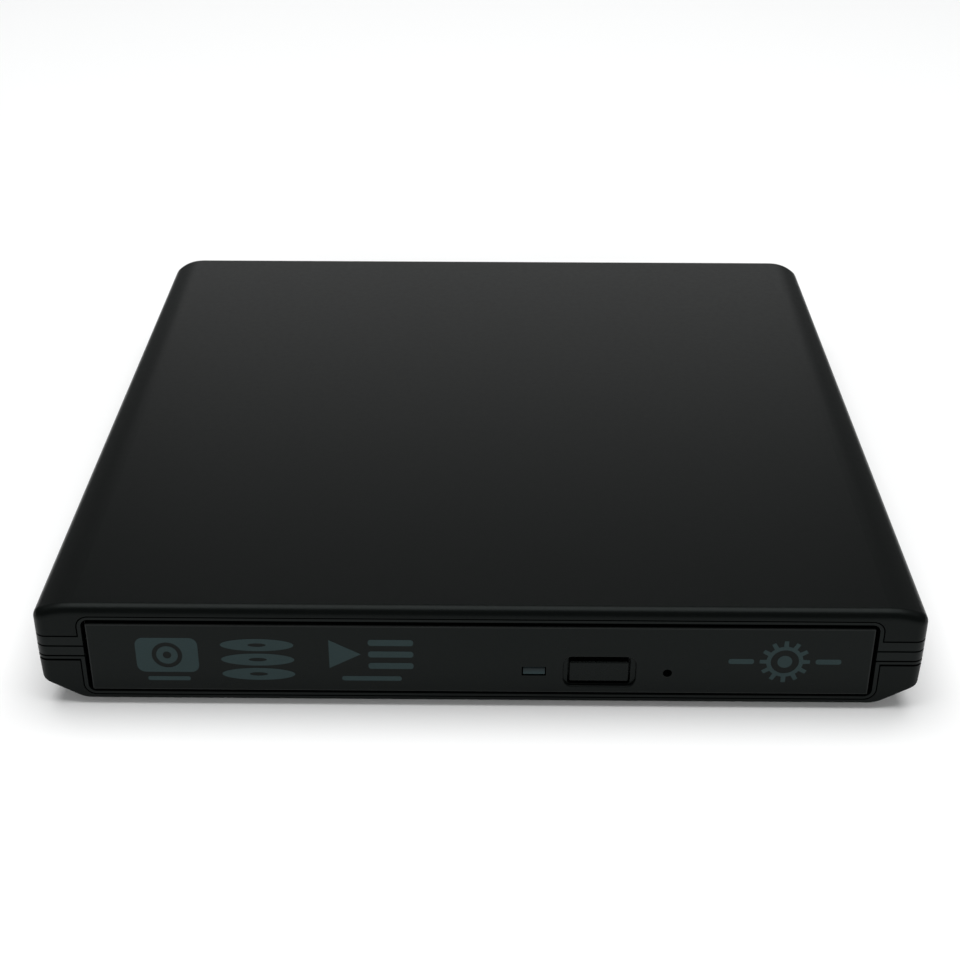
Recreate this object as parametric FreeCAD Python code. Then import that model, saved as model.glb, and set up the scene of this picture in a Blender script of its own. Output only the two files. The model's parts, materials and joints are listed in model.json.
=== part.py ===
import FreeCAD, Part
import math
import os

from FreeCAD import Vector

# External slim optical drive: a two-part plastic case with a frame between, holding a tray-load drive.
# Millimetres. +Z up, front faces -Y, +X to the right of a person facing the front.
# Origin: on the surface the feet stand on, below the middle of the case.

# ---- Driving dimensions ----
CASE_WIDTH = 145.0
CASE_DEPTH = 145.4
CASE_HEIGHT = 18.1
FOOT_HEIGHT = 1.2
WALL = 1.6
DRIVE_WIDTH = 128.0
DRIVE_HEIGHT = 12.7
DISC_RADIUS = 60.0
HUB_RADIUS = 7.45
SHEET = 0.6
PAST = 1.0
ALL_HEIGHTS = (0.0, 20.0)

# ---- Case outline ----
FRONT = -CASE_DEPTH / 2
BACK = CASE_DEPTH / 2
CASE_BOTTOM = FOOT_HEIGHT
CASE_TOP = CASE_BOTTOM + CASE_HEIGHT
SHOULDER_WIDTH = 6.5
SHOULDER_DROP = 2.75
SHOULDER_RADIUS = 1.9
SIDE_LEAN = 0.5
CHAMFER_WIDTH = 6.6
CHAMFER_HEIGHT = 3.7
CHAMFER_TOP_RADIUS = 1.2
CHAMFER_FOOT_RADIUS = 5.0
FRONT_CORNER_RADIUS = 1.9
BACK_CORNER_RADIUS = 5.0
LEAST_RADIUS = 0.3
TOP_EDGE_RADIUS = 1.6
FRONT_FOOT_RADIUS = 0.3

# ---- Seams and grooves of the side band ----
BAND_BOTTOM = CASE_BOTTOM + 7.95
BAND_TOP = CASE_BOTTOM + 12.25
SEAM_LOW = 0.4
SEAM_HIGH = 0.28
GROOVE_HEIGHTS = (CASE_BOTTOM + 8.55, CASE_BOTTOM + 10.47)
GROOVE_WIDTH = 0.3
GROOVE_DEPTH = 0.35
TONGUE_INSET = 0.9
TONGUE_RISE = 0.9
TONGUE_PLAY = 0.05

# ---- Ring round the drive's front ----
RING_HALF = 65.2
RING_BOTTOM = CASE_BOTTOM + 0.95
RING_TOP = CASE_BOTTOM + 16.13
RING_WALL = 0.6
RING_LEDGE = 0.45
RING_DEPTH = 4.4
RING_CORNER = 1.9
RING_PLAY = 0.22

# ---- Drive placement ----
DRIVE_BOTTOM = CASE_BOTTOM + 2.03
DRIVE_TOP = DRIVE_BOTTOM + DRIVE_HEIGHT
DRIVE_HALF = DRIVE_WIDTH / 2
DRIVE_FRONT = -68.0
DRIVE_BACK = 58.0
FLOOR = DRIVE_BOTTOM + SHEET
CEILING = DRIVE_TOP - SHEET
BASE_TOP = 11.5
SHEET_BEND = 0.5
BEZEL_FRONT = FRONT + 0.2
BEZEL_BACK = DRIVE_FRONT - 0.4
BEZEL_BOTTOM = DRIVE_BOTTOM - 0.4
BEZEL_SKIN = 1.8
BEZEL_RIM = 1.3
BEZEL_EDGE = 0.2
SKIN_BACK = BEZEL_FRONT + BEZEL_SKIN

# ---- Inside the case: ribs, bosses, posts, feet ----
ROOF_RIB_Y = (-45.0, -5.0, 35.0)
ROOF_RIB_HALF = 52.0
ROOF_RIB_WIDTH = 1.2
ROOF_RIB_PLAY = 0.1
SEAT_X = (-40.0, 0.0, 40.0)
SEAT_HALF = 3.0
SEAT_Y = (-60.0, 50.0)
BOSS_RADIUS = 2.6
BOSS_BORE = 1.2
CASE_SCREW_HOLE = 1.3
HEAD_WELL_RADIUS = 2.5
HEAD_WELL_DEPTH = 0.8
BOARD_POST_RADIUS = 2.2
BOARD_BORE = 0.8
BOARD_BORE_DEPTH = 4.0
FOOT_X = (-52.0, 52.0)
FOOT_Y = (-58.0, 54.0)
FOOT_RADIUS = 4.5
FOOT_EDGE = 0.4

# ---- Tray and disc ----
DISC_AT = (0.0, -5.6)
RECESS_RADIUS = DISC_RADIUS + 0.7
TRAY_FRONT = -67.5
TRAY_BACK = 56.4
TRAY_HALF = 62.5
DECK_BOTTOM = 9.7
RECESS_FLOOR = 11.0
TRAY_TOP = 14.3
SKIRT_BOTTOM = 4.9
SKIRT_BACK = 44.0
SKIRT_WALL = 1.3
DISC_SEAT = 11.9
DECK_CORNER = 3.0
DECK_EDGE = 0.4
SCOOP_RADIUS = 9.0
SCOOP_X = 46.0
SCOOP_Y = -47.6
TAB_Z = (6.0, 12.0)
TAB_X = (47.0, 54.0)

# ---- Telescopic rails (given for the right side, mirrored for the left) ----
RAIL_MID = 7.3
RAIL_FLANGE_HALF = 1.45
RAIL_WEB_HALF = 0.5
RAIL_FIT = 0.15
CHANNEL_HALF = 2.3
RAIL_X = (58.9, 59.9, 61.4, 62.4)
RUNNER_X = (57.9, 58.7, 60.05, 60.6)
HOLDER_X = (60.75, 61.25, 62.6, 63.35)
RAIL_FRONT = -66.0
RAIL_LENGTH = 105.0
HOLDER_BACK = 50.0
RAIL_SCREW_X = 62.3
RAIL_SCREW_Y = (-55.0, -8.0, 42.0)
RAIL_SCREW_RADIUS = 0.7
RAIL_SCREW_TOP = 5.4

# ---- Traverse: spindle and pickup unit, laid out along its own -Y and turned about the spindle ----
TRAVERSE_TURN = -45.0
LENS_START = 24.0
SLED_HALF = 14.5
EAR_X = ((-19.5, -SLED_HALF), (SLED_HALF, 18.8))
WELL_FLOOR = 7.2
ROD_X = 17.5
ROD_Z = 7.5
ROD_RADIUS = 1.2
ROD_PLAY = 0.05
SCREW_X = -22.0
SCREW_RADIUS = 0.9
SCREW_END = -56.8
TIP_RADIUS = 0.5
SLED_MOTOR_Y = (-14.0, -2.6)
PLATE_Z = (4.95, 5.65)
ROTOR_RADIUS = 13.5
COVER_Z = (10.1, 10.5)
COVER_HALF = 21.7
COVER_RADIUS = 24.0
COVER_MARGIN = 0.6
COVER_PLAY = 0.3
COVER_SEAT = 1.2
LENS_RADIUS = 2.1
DAMPER_TOP = 8.25
SLEEVE_RADIUS = 1.6
MOTOR_BORE = 3.0
SHAFT_RADIUS = 1.2
GRIP_RADII = (13.1, 11.6)
GRIP_LOW = DISC_SEAT - 0.5
HUB_WALL = 1.8
HUB_NOSE = 0.6
ROD_Y = (-62.0, -14.4)

# ---- Front controls ----
BUTTON_X = (14.7, 24.45)
BUTTON_Z = (5.08, 8.98)
BUTTON_CENTRE = ((BUTTON_X[0] + BUTTON_X[1]) / 2, (BUTTON_Z[0] + BUTTON_Z[1]) / 2)
BUTTON_FACE = BEZEL_FRONT + 0.1
BUTTON_GAP_X = 0.3
BUTTON_GAP_Z = 0.75
BUTTON_GAP_CORNER = 0.6
BUTTON_EDGE = 0.3
STEM_RADIUS = 1.0
POCKET_X = (13.75, 25.6)
POCKET_Z = (4.15, 9.95)
POCKET_CORNER = 1.5
POCKET_DEPTH = 0.55
POCKET_LIP = 0.3
WINDOW_X = (6.9, 10.9)
WINDOW_Z = (6.25, 8.0)
LENS_X = (7.15, 10.7)
LENS_Z = (6.5, 7.95)
LAMP_FRONT = -66.05
PINHOLE_X = 30.8
PINHOLE_Z = CASE_BOTTOM + 5.72
PINHOLE_RADIUS = 0.75
SWITCH_HALF = 2.6
SWITCH_Y = (-65.4, -62.0)
FRONT_BOARD_Z = (5.0, 5.8)

# ---- Latch ----
LATCH_PIVOT = (44.0, -61.5)
LATCH_Z = (6.5, 8.0)
PLUNGER_X = LATCH_PIVOT[0] + 8.2
PLUNGER_RADIUS = 1.2
PIVOT_RADIUS = 1.0
POST_AT = (39.2, -56.0)
POST_RADIUS = 1.1
POST_TOP = 6.2

# ---- Boards and sockets at the back ----
BRIDGE_Z = (8.95, 10.15)
USB_X = 18.0
POWER_X = 36.0
SOCKET_BACK = BACK - 0.2
USB_OPENING = (4.1, 4.8)
POWER_OPENING = (3.4, 3.2)
BRIDGE_HALF = 50.5
BRIDGE_Y = (61.0, 70.8)
SOCKET_SHELL = 0.4
CONNECTOR_X = (-50.0, -2.0)
PLUG_SEAM = 61.1
REAR_BOARD_Z = (4.0, 4.7)
REAR_SCREW_AT = (4.5, 54.5)
EJECTOR_AT = (45.5, 6.7)
EJECTOR_RADIUS = 1.8
CABLE_X = (-30.0, -14.0)
CABLE_CLAMP_X = (-31.0, -13.0)
CABLE_THICKNESS = 0.12
CABLE_LOW = 3.88
CABLE_HIGH = 4.15
TRAY_BOARD_Z = (7.6, 8.4)
TRAY_BOARD_Y = (27.0, 42.3)
SHIELD_Z = (4.35, 4.55)
CASE_SCREW_AT = ((-57.5, 65.0), (57.5, 65.0))
BOARD_SCREW_AT = ((2.4, 65.5), (46.0, 65.5))

X_AXIS = Vector(1, 0, 0)
Y_AXIS = Vector(0, 1, 0)
Z_AXIS = Vector(0, 0, 1)


# ---- Shape helpers ----
def block(x, y, z):
    """A box between two X, two Y and two Z values."""
    return Part.makeBox(x[1] - x[0], y[1] - y[0], z[1] - z[0], Vector(x[0], y[0], z[0]))


def post(radius, at, z):
    """An upright cylinder at a plan point, between two heights."""
    return Part.makeCylinder(radius, z[1] - z[0], Vector(at[0], at[1], z[0]), Z_AXIS)


def bar(radius, x, z, y):
    """A cylinder along Y, between two Y values."""
    return Part.makeCylinder(radius, y[1] - y[0], Vector(x, y[0], z), Y_AXIS)


def tube(outer, inner, at, z):
    return post(outer, at, z).cut(post(inner, at, z))


def fillet_where(shape, radius, wanted):
    """Round the edges whose middle point and direction pass a test."""
    edges = []
    for edge in shape.Edges:
        middle = edge.valueAt((edge.FirstParameter + edge.LastParameter) / 2)
        box = edge.BoundBox
        if wanted(middle, box):
            edges.append(edge)
    return shape.makeFillet(radius, edges)


def near(value, target):
    return abs(value - target) < 0.01


def runs_along(box, axis):
    """True for an edge whose box is a line along the named axis."""
    spans = {"x": box.XLength, "y": box.YLength, "z": box.ZLength}
    others = [spans[name] for name in spans if name != axis]
    return max(others) < 1e-6 < spans[axis]


def rounded_along(x, y, z, radius, axis):
    """A box with its four edges along one axis rounded."""
    return fillet_where(block(x, y, z), radius, lambda middle, box: runs_along(box, axis))


def grown(span, by):
    return (span[0] - by, span[1] + by)


def about(centre, half):
    """A span of a given half width round a centre."""
    return (centre - half, centre + half)


def join(shapes):
    """One solid out of touching shapes."""
    whole = shapes[0].fuse(shapes[1:]) if len(shapes) > 1 else shapes[0]
    return whole.removeSplitter()


def group(shapes):
    """Separate solids kept in one node."""
    return Part.makeCompound(shapes)


def mirrored(shape):
    return shape.mirror(Vector(0, 0, 0), X_AXIS)


def both_sides(shape):
    return [shape, mirrored(shape)]


def on_traverse(shape):
    """Put a shape laid out about the spindle axis into its turned place on the tray."""
    turned = shape.copy()
    turned.rotate(Vector(0, 0, 0), Z_AXIS, TRAVERSE_TURN)
    turned.translate(Vector(DISC_AT[0], DISC_AT[1], 0))
    return turned


# ---- Case ----
def shoulder_arcs(half, top):
    """Two tangent arcs from the top face to the side: a wide one, then a tight one."""
    wide = SHOULDER_WIDTH - SHOULDER_RADIUS
    drop = SHOULDER_DROP - SHOULDER_RADIUS
    sweep = math.pi / 2 - 2 * math.atan(drop / wide)
    reach = wide / math.cos(sweep)
    big = reach + SHOULDER_RADIUS
    tight_at = (half - SHOULDER_RADIUS, top - SHOULDER_DROP)
    big_at = (half - SHOULDER_WIDTH, top - big)
    upper = arc_about(big_at, big, math.pi / 2, sweep)
    lower = arc_about(tight_at, SHOULDER_RADIUS, sweep, 0)
    return [upper, lower]


def arc_about(centre, radius, start, end):
    """An arc in the XZ plane through its start, middle and end angles."""
    points = []
    for angle in (start, (start + end) / 2, end):
        points.append(Vector(centre[0] + radius * math.cos(angle), 0, centre[1] + radius * math.sin(angle)))
    return Part.Arc(*points).toShape()


def line(start, end):
    return Part.makeLine(Vector(start[0], 0, start[1]), Vector(end[0], 0, end[1]))


def case_section(inset):
    """The case's cross-section as a face in the XZ plane, moved inward by the inset."""
    half = CASE_WIDTH / 2 - inset
    top = CASE_TOP - inset
    bottom = CASE_BOTTOM + inset
    slope = math.atan2(CHAMFER_HEIGHT, CHAMFER_WIDTH)
    foot = CASE_WIDTH / 2 - SIDE_LEAN - CHAMFER_WIDTH - inset * math.tan(slope / 2)
    knee_x = half - SIDE_LEAN
    knee_z = CASE_BOTTOM + CHAMFER_HEIGHT + inset * math.tan((math.pi / 2 - slope) / 2)
    side_top = top - SHOULDER_DROP
    side_middle = (side_top + knee_z) / 2
    crown = Vector(half - SIDE_LEAN / 4, 0, side_middle)
    side = Part.Arc(Vector(half, 0, side_top), crown, Vector(knee_x, 0, knee_z)).toShape()
    right = shoulder_arcs(half, top) + [side, line((knee_x, knee_z), (foot, bottom))]
    right.append(line((foot, bottom), (0, bottom)))
    right.insert(0, line((0, top), (half - SHOULDER_WIDTH, top)))
    left = [edge.mirror(Vector(0, 0, 0), X_AXIS) for edge in right]
    outline = Part.Wire(Part.__sortEdges__(right + left))
    return Part.Face(outline)


def case_plan(inset):
    """The case's outline seen from above, as a tall block with rounded corners."""
    half = CASE_WIDTH / 2 - inset
    tall = (0, CASE_TOP + FOOT_HEIGHT)
    plan = block((-half, half), (FRONT + inset, BACK - inset), tall)
    plan = fillet_where(
        plan, max(FRONT_CORNER_RADIUS - inset, LEAST_RADIUS), lambda m, b: runs_along(b, "z") and m.y < 0)
    return fillet_where(plan, BACK_CORNER_RADIUS - inset, lambda m, b: runs_along(b, "z") and m.y > 0)


def case_solid(inset):
    """The whole case filled in, moved inward by the inset."""
    section = case_section(inset)
    section.translate(Vector(0, FRONT + inset, 0))
    solid = section.extrude(Vector(0, CASE_DEPTH - 2 * inset, 0))
    half_way = (CASE_WIDTH - CHAMFER_WIDTH) / 2
    low = CASE_BOTTOM + 2 * CHAMFER_HEIGHT
    solid = fillet_where(
        solid, CHAMFER_TOP_RADIUS,
        lambda m, b: runs_along(b, "y") and m.z < low and abs(m.x) > half_way)
    solid = fillet_where(
        solid, CHAMFER_FOOT_RADIUS,
        lambda m, b: runs_along(b, "y") and m.z < low and 1 < abs(m.x) < half_way)
    return solid.common(case_plan(inset))


def case_outside():
    """The case's outer form with its front and back edges rounded."""
    solid = case_solid(0)

    def crest(middle, box):
        reach = FRONT_CORNER_RADIUS if middle.y < 0 else BACK_CORNER_RADIUS
        at_end = BACK - abs(middle.y) < reach
        return at_end and middle.z > CASE_TOP - SHOULDER_DROP and box.YLength < reach

    return fillet_where(solid, TOP_EDGE_RADIUS, crest)


def between(solid, low, high):
    """The part of a solid between two heights."""
    reach = CASE_WIDTH
    return solid.common(block((-reach, reach), (-reach, reach), (low, high)))


def ring_block(side, ledge, y):
    """The ring's rounded outline as a block along Y, moved inward at its sides and at its top and bottom."""
    x = about(0, RING_HALF - side)
    return rounded_along(x, y, grown((RING_BOTTOM, RING_TOP), -ledge), RING_CORNER - side, "y")


def tongue_room():
    """Space that both covers leave for the frame's inner tongue."""
    inner = case_solid(WALL + PAST)
    low = BAND_BOTTOM - SEAM_LOW - TONGUE_RISE
    high = BAND_TOP + SEAM_HIGH + TONGUE_RISE
    outer = case_solid(TONGUE_INSET - TONGUE_PLAY)
    return between(outer.cut(inner), low - TONGUE_PLAY, high + TONGUE_PLAY)


def cover_cuts():
    """What the frame takes out of both covers: its ring and its tongue."""
    ring = ring_block(-RING_PLAY, -RING_PLAY, (FRONT - PAST, FRONT + RING_DEPTH + RING_PLAY))
    return [ring, tongue_room()]


def top_cover():
    shell = case_outside().cut(case_solid(WALL))
    shell = between(shell, BAND_TOP + SEAM_HIGH, CASE_TOP + PAST)
    cover = shell.cut(cover_cuts())
    roof = CASE_TOP - WALL
    rib_z = (DRIVE_TOP + ROOF_RIB_PLAY, roof)
    boss_z = (CASE_BOTTOM + WALL + ROOF_RIB_PLAY, roof)
    inside = [block(about(0, ROOF_RIB_HALF), (y, y + ROOF_RIB_WIDTH), rib_z) for y in ROOF_RIB_Y]
    inside += [tube(BOSS_RADIUS, BOSS_BORE, at, boss_z) for at in CASE_SCREW_AT]
    return join([cover] + inside)


def socket_cuts():
    """Openings for the two sockets through the back of the bottom cover."""
    y = (BACK - 2 * WALL, BACK + PAST)
    cuts = []
    for x, (half, low) in ((USB_X, USB_OPENING), (POWER_X, POWER_OPENING)):
        cuts.append(block(about(x, half), y, (low, BAND_BOTTOM)))
    return cuts


def bottom_cover():
    shell = between(case_solid(0).cut(case_solid(WALL)), 0, BAND_BOTTOM - SEAM_LOW)
    shell = fillet_where(
        shell, FRONT_FOOT_RADIUS,
        lambda m, b: runs_along(b, "x") and near(m.z, CASE_BOTTOM) and near(abs(m.y), BACK))
    shell = shell.cut(cover_cuts() + socket_cuts())
    inside = CASE_BOTTOM + WALL
    additions = [block(about(x, SEAT_HALF), SEAT_Y, (inside, DRIVE_BOTTOM)) for x in SEAT_X]
    additions += [post(BOARD_POST_RADIUS, at, (inside, BRIDGE_Z[0])) for at in BOARD_SCREW_AT]
    cuts = [post(CASE_SCREW_HOLE, at, (0, inside + PAST)) for at in CASE_SCREW_AT]
    cuts += [post(HEAD_WELL_RADIUS, at, (0, CASE_BOTTOM + HEAD_WELL_DEPTH)) for at in CASE_SCREW_AT]
    cuts += [post(BOARD_BORE, at, (BRIDGE_Z[0] - BOARD_BORE_DEPTH, BRIDGE_Z[0])) for at in BOARD_SCREW_AT]
    return join([shell] + additions).cut(cuts + [drive_room()])


def drive_room():
    """Space for the drive between the case's lower slopes."""
    play = 0.25
    y = (DRIVE_FRONT - PAST, DRIVE_BACK + 2 * play)
    return block(about(0, DRIVE_HALF + play), y, (DRIVE_BOTTOM, BAND_TOP))


def mid_frame():
    """The grooved band round the case, the tongue inside it and the ring round the drive's front."""
    band = between(case_solid(0).cut(case_solid(WALL)), BAND_BOTTOM, BAND_TOP)
    tongue = between(
        case_solid(TONGUE_INSET).cut(case_solid(WALL)),
        BAND_BOTTOM - SEAM_LOW - TONGUE_RISE, BAND_TOP + SEAM_HIGH + TONGUE_RISE)
    tongue = tongue.cut(socket_cuts())
    y = (FRONT, FRONT + RING_DEPTH)
    frame = join([band, tongue, ring_block(0, 0, y)])
    rim = case_solid(-PAST).cut(case_solid(GROOVE_DEPTH))
    grooves = [between(rim, z - GROOVE_WIDTH / 2, z + GROOVE_WIDTH / 2) for z in GROOVE_HEIGHTS]
    return frame.cut([ring_block(RING_WALL, RING_LEDGE, grown(y, PAST))] + grooves)


def rubber_feet():
    feet = []
    for x in FOOT_X:
        for y in FOOT_Y:
            foot = post(FOOT_RADIUS, (x, y), (0, FOOT_HEIGHT))
            feet.append(fillet_where(foot, FOOT_EDGE, lambda m, b: near(m.z, 0)))
    return group(feet)


def screw(at, head, shank, z, head_height, slot):
    """A screw driven upward: a head with a cross recess, and its shank."""
    top = z[0] + head_height
    body = join([post(head, at, (z[0], top)), post(shank, at, (top, z[1]))])
    x, y = at
    depth = (z[0] - PAST, z[0] + head_height * 0.6)
    thin = slot / 4
    arms = ((slot, thin), (thin, slot))
    return body.cut([block(about(x, half_x), about(y, half_y), depth) for half_x, half_y in arms])


def case_screws():
    head = HEAD_WELL_RADIUS - 0.2
    shank = BOSS_BORE - 0.05
    z = (CASE_BOTTOM + 0.05, 12.0)
    return group([screw(at, head, shank, z, 0.75, 1.4) for at in CASE_SCREW_AT])


# ---- Boards and sockets behind the drive ----
def bridge_board():
    board = block(about(0, BRIDGE_HALF), BRIDGE_Y, BRIDGE_Z)
    hole = 1.1
    return board.cut([post(hole, at, ALL_HEIGHTS) for at in BOARD_SCREW_AT])


def board_screws():
    """Two screws that hold the board down on its posts."""
    low = BRIDGE_Z[0] - BOARD_BORE_DEPTH + 0.5
    top = BRIDGE_Z[1]
    head_height = 1.0
    screws = []
    for x, y in BOARD_SCREW_AT:
        head = post(2.0, (x, y), (top, top + head_height))
        shank = post(BOARD_BORE - 0.05, (x, y), (low, top))
        slot = block(about(x, 1.4), about(y, 0.3), (top + head_height / 2, top + head_height + PAST))
        screws.append(join([head, shank]).cut(slot))
    return group(screws)


def bridge_parts():
    """Controller, clock crystal, coil and capacitors standing on the bridge board."""
    base = BRIDGE_Z[1]
    controller = ((6.0, 13.0), (62.0, 69.0), 1.0)
    crystal = ((-9.0, -3.0), (64.0, 66.5), 1.6)
    coil = ((24.0, 29.0), (63.0, 68.0), 2.0)
    regulator = ((-24.0, -18.0), (62.5, 68.5), 1.2)
    chip_capacitors = [((x, x + 1.6), (66.0, 67.0), 0.8) for x in (-30.0, -33.0, 15.0, 32.5)]
    parts = []
    for x, y, height in [controller, crystal, coil, regulator] + chip_capacitors:
        parts.append(block(x, y, (base, base + height)))
    can_capacitor = tube(1.9, 0.5, (38.0, 67.0), (base, base + 3.0))
    return group(parts + [can_capacitor])


def usb_socket():
    """Five-contact mini socket: a bent metal shell with a tongue inside."""
    top = BRIDGE_Z[0]
    back_wall = 1.2
    x = about(USB_X, 3.85)
    y = (SOCKET_BACK - 9.2, SOCKET_BACK)
    z = (top - 3.9, top)
    shell = rounded_along(x, y, z, 0.8, "y")
    bore_y = (y[0] + back_wall, y[1] + PAST)
    bore = rounded_along(grown(x, -SOCKET_SHELL), bore_y, grown(z, -SOCKET_SHELL), 0.5, "y")
    tongue = block(about(USB_X, 2.6), (y[0] + back_wall / 2, y[1] - back_wall), about(top - 1.95, 0.4))
    return join([shell.cut(bore), tongue])


def power_socket():
    """Barrel socket: a moulded body with a round hole and a centre pin."""
    y = (SOCKET_BACK - 10.0, SOCKET_BACK)
    height = 5.5
    centre = BRIDGE_Z[0] - height / 2
    floor = y[1] - 7.5
    body = block(about(POWER_X, 3.1), y, about(centre, height / 2))
    hole = bar(1.85, POWER_X, centre, (floor, y[1] + PAST))
    pin = bar(0.6, POWER_X, centre, (floor - 0.1, y[1] - 1.0))
    return join([body.cut(hole), pin])


def drive_socket():
    """The board's half of the drive connector."""
    return block(CONNECTOR_X, (PLUG_SEAM + 0.1, 67.0), (BRIDGE_Z[0] - 4.2, BRIDGE_Z[0]))


def drive_plug():
    """The drive's half of the connector, standing on the drive's rear board."""
    x = grown(CONNECTOR_X, -1.0)
    floor = 56.0
    body = block(x, (51.0, PLUG_SEAM), (REAR_BOARD_Z[1], 8.9))
    hollow = block(grown(x, -0.9), (floor, PLUG_SEAM + PAST), (5.5, 8.4))
    tongue = block(grown(x, -2.0), (floor - PAST, PLUG_SEAM - 0.6), (6.6, 7.3))
    return join([body.cut(hollow), tongue])


def rear_board():
    """Board on the chassis floor, between the drive's connector and the flat cable."""
    board = block((-58.0, 8.0), (46.5, 57.2), REAR_BOARD_Z)
    return board.cut(post(1.2, REAR_SCREW_AT, ALL_HEIGHTS))


# ---- Drive chassis ----
def drive_base():
    """Folded sheet floor with side walls and a rear wall cut out for the connector."""
    x = (-DRIVE_HALF, DRIVE_HALF)
    above = (FLOOR, BASE_TOP + PAST)
    outer = rounded_along(x, (DRIVE_FRONT, DRIVE_BACK), (DRIVE_BOTTOM, BASE_TOP), SHEET_BEND, "y")
    inner = block(grown(x, -SHEET), (DRIVE_FRONT - PAST, DRIVE_BACK - SHEET), above)
    mouth = block(grown(CONNECTOR_X, 0.5), (DRIVE_BACK - SHEET - PAST, DRIVE_BACK + PAST), above)
    cuts = [inner, mouth, post(1.0, REAR_SCREW_AT, ALL_HEIGHTS)]
    for x0 in (-52.0, 47.0):
        cuts.append(rounded_along((x0, x0 + 5.0), (-40.0, 20.0), (0, FLOOR + PAST), 2.2, "z"))
    for at in rail_screw_places():
        cuts.append(post(0.95, at, (0, FLOOR + 0.1)))
    return outer.cut(cuts)


def drive_lid():
    """Folded sheet cover that closes the drive from above."""
    x = (-DRIVE_HALF, DRIVE_HALF)
    low = BASE_TOP + 0.1
    outer = rounded_along(x, (DRIVE_FRONT, DRIVE_BACK), (low, DRIVE_TOP), SHEET_BEND, "y")
    inner = block(grown(x, -SHEET), (DRIVE_FRONT - PAST, DRIVE_BACK - SHEET), (low - PAST, CEILING))
    return outer.cut(inner)


def latch_post():
    """Striker riveted to the floor, which the tray's hook holds on to."""
    base = tube(2.4, POST_RADIUS, POST_AT, (FLOOR, FLOOR + 0.5))
    return join([base, post(POST_RADIUS, POST_AT, (FLOOR, POST_TOP))])


def rail_screw_places():
    return [(side * RAIL_SCREW_X, y) for side in (-1, 1) for y in RAIL_SCREW_Y]


def rail_screws():
    screws = []
    for at in rail_screw_places():
        low = DRIVE_BOTTOM + 0.05
        head_top = low + 0.35
        head = Part.makeCone(0.95, RAIL_SCREW_RADIUS, head_top - low, Vector(at[0], at[1], low), Z_AXIS)
        shank = post(RAIL_SCREW_RADIUS, at, (head_top, RAIL_SCREW_TOP))
        screws.append(join([head, shank]))
    return group(screws)


def rail_holder():
    """Fixed channel along the chassis wall, open towards the tray, with lips that keep the rail in."""
    x = HOLDER_X
    y = (RAIL_FRONT, HOLDER_BACK)
    holder = block((x[0], x[3]), y, (FLOOR, RAIL_MID + CHANNEL_HALF))
    cavity = block((x[1], x[2]), grown(y, PAST), about(RAIL_MID, RAIL_FLANGE_HALF + RAIL_FIT))
    slot = block((x[0] - PAST, x[2]), grown(y, PAST), about(RAIL_MID, RAIL_WEB_HALF + RAIL_FIT))
    holes = [post(RAIL_SCREW_RADIUS, at, (0, RAIL_SCREW_TOP)) for at in rail_screw_places() if at[0] > 0]
    return holder.cut([cavity, slot] + holes)


def sliding_rail():
    """Telescopic rail of H section, between the fixed channel and the tray's runner."""
    x = RAIL_X
    y = (RAIL_FRONT, RAIL_FRONT + RAIL_LENGTH)
    flange = about(RAIL_MID, RAIL_FLANGE_HALF)
    web = about(RAIL_MID, RAIL_WEB_HALF)
    return join([block((x[0], x[1]), y, flange), block((x[1], x[2]), y, web), block((x[2], x[3]), y, flange)])


def ejector_housing():
    """Block at the back of the chassis that guides the ejector pin and backs its spring."""
    body = block(about(EJECTOR_AT[0], 3.5), (45.5, DRIVE_BACK - SHEET), (FLOOR, 9.4))
    return body.cut(bar(EJECTOR_RADIUS + 0.05, *EJECTOR_AT, (45.0, 56.9)))


def ejector_pin():
    """Hollow pin that pushes the tray out by its back wall."""
    pin = bar(EJECTOR_RADIUS, *EJECTOR_AT, (SKIRT_BACK + 0.05, 54.0))
    return pin.cut(bar(EJECTOR_RADIUS - 0.5, *EJECTOR_AT, (46.0, 55.0)))


def ejector_spring():
    y = (46.05, 56.85)
    return bar(1.2, *EJECTOR_AT, y).cut(bar(0.9, *EJECTOR_AT, grown(y, PAST)))


# ---- Tray ----
def tray_deck():
    """The tray's upper plate with the disc recess, finger scoops, spindle hole and traverse window."""
    deck = block((-TRAY_HALF, TRAY_HALF), (TRAY_FRONT, TRAY_BACK), (DECK_BOTTOM, TRAY_TOP))
    deck = fillet_where(deck, DECK_CORNER, lambda m, b: runs_along(b, "z"))
    deck = fillet_where(deck, DECK_EDGE, lambda m, b: near(m.z, TRAY_TOP))
    recess_z = (RECESS_FLOOR, TRAY_TOP + PAST)
    cuts = [post(RECESS_RADIUS, DISC_AT, recess_z)]
    for side in (-1, 1):
        cuts.append(post(SCOOP_RADIUS, (side * SCOOP_X, SCOOP_Y), recess_z))
    cuts.append(window_shape(COVER_PLAY, (COVER_Z[0], RECESS_FLOOR + PAST)))
    cuts.append(window_shape(-COVER_SEAT, (DECK_BOTTOM - PAST, COVER_Z[0] + PAST)))
    return deck.cut(cuts)


def window_shape(by, z):
    """Keyhole outline, grown by a margin: a disc round the spindle and a strip towards the front left."""
    strip = on_traverse(block(about(0, COVER_HALF + by), (-2 * RECESS_RADIUS, 0), z))
    strip = strip.common(post(RECESS_RADIUS - COVER_MARGIN, DISC_AT, z))
    return join([post(COVER_RADIUS + by, DISC_AT, z), strip])


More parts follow.
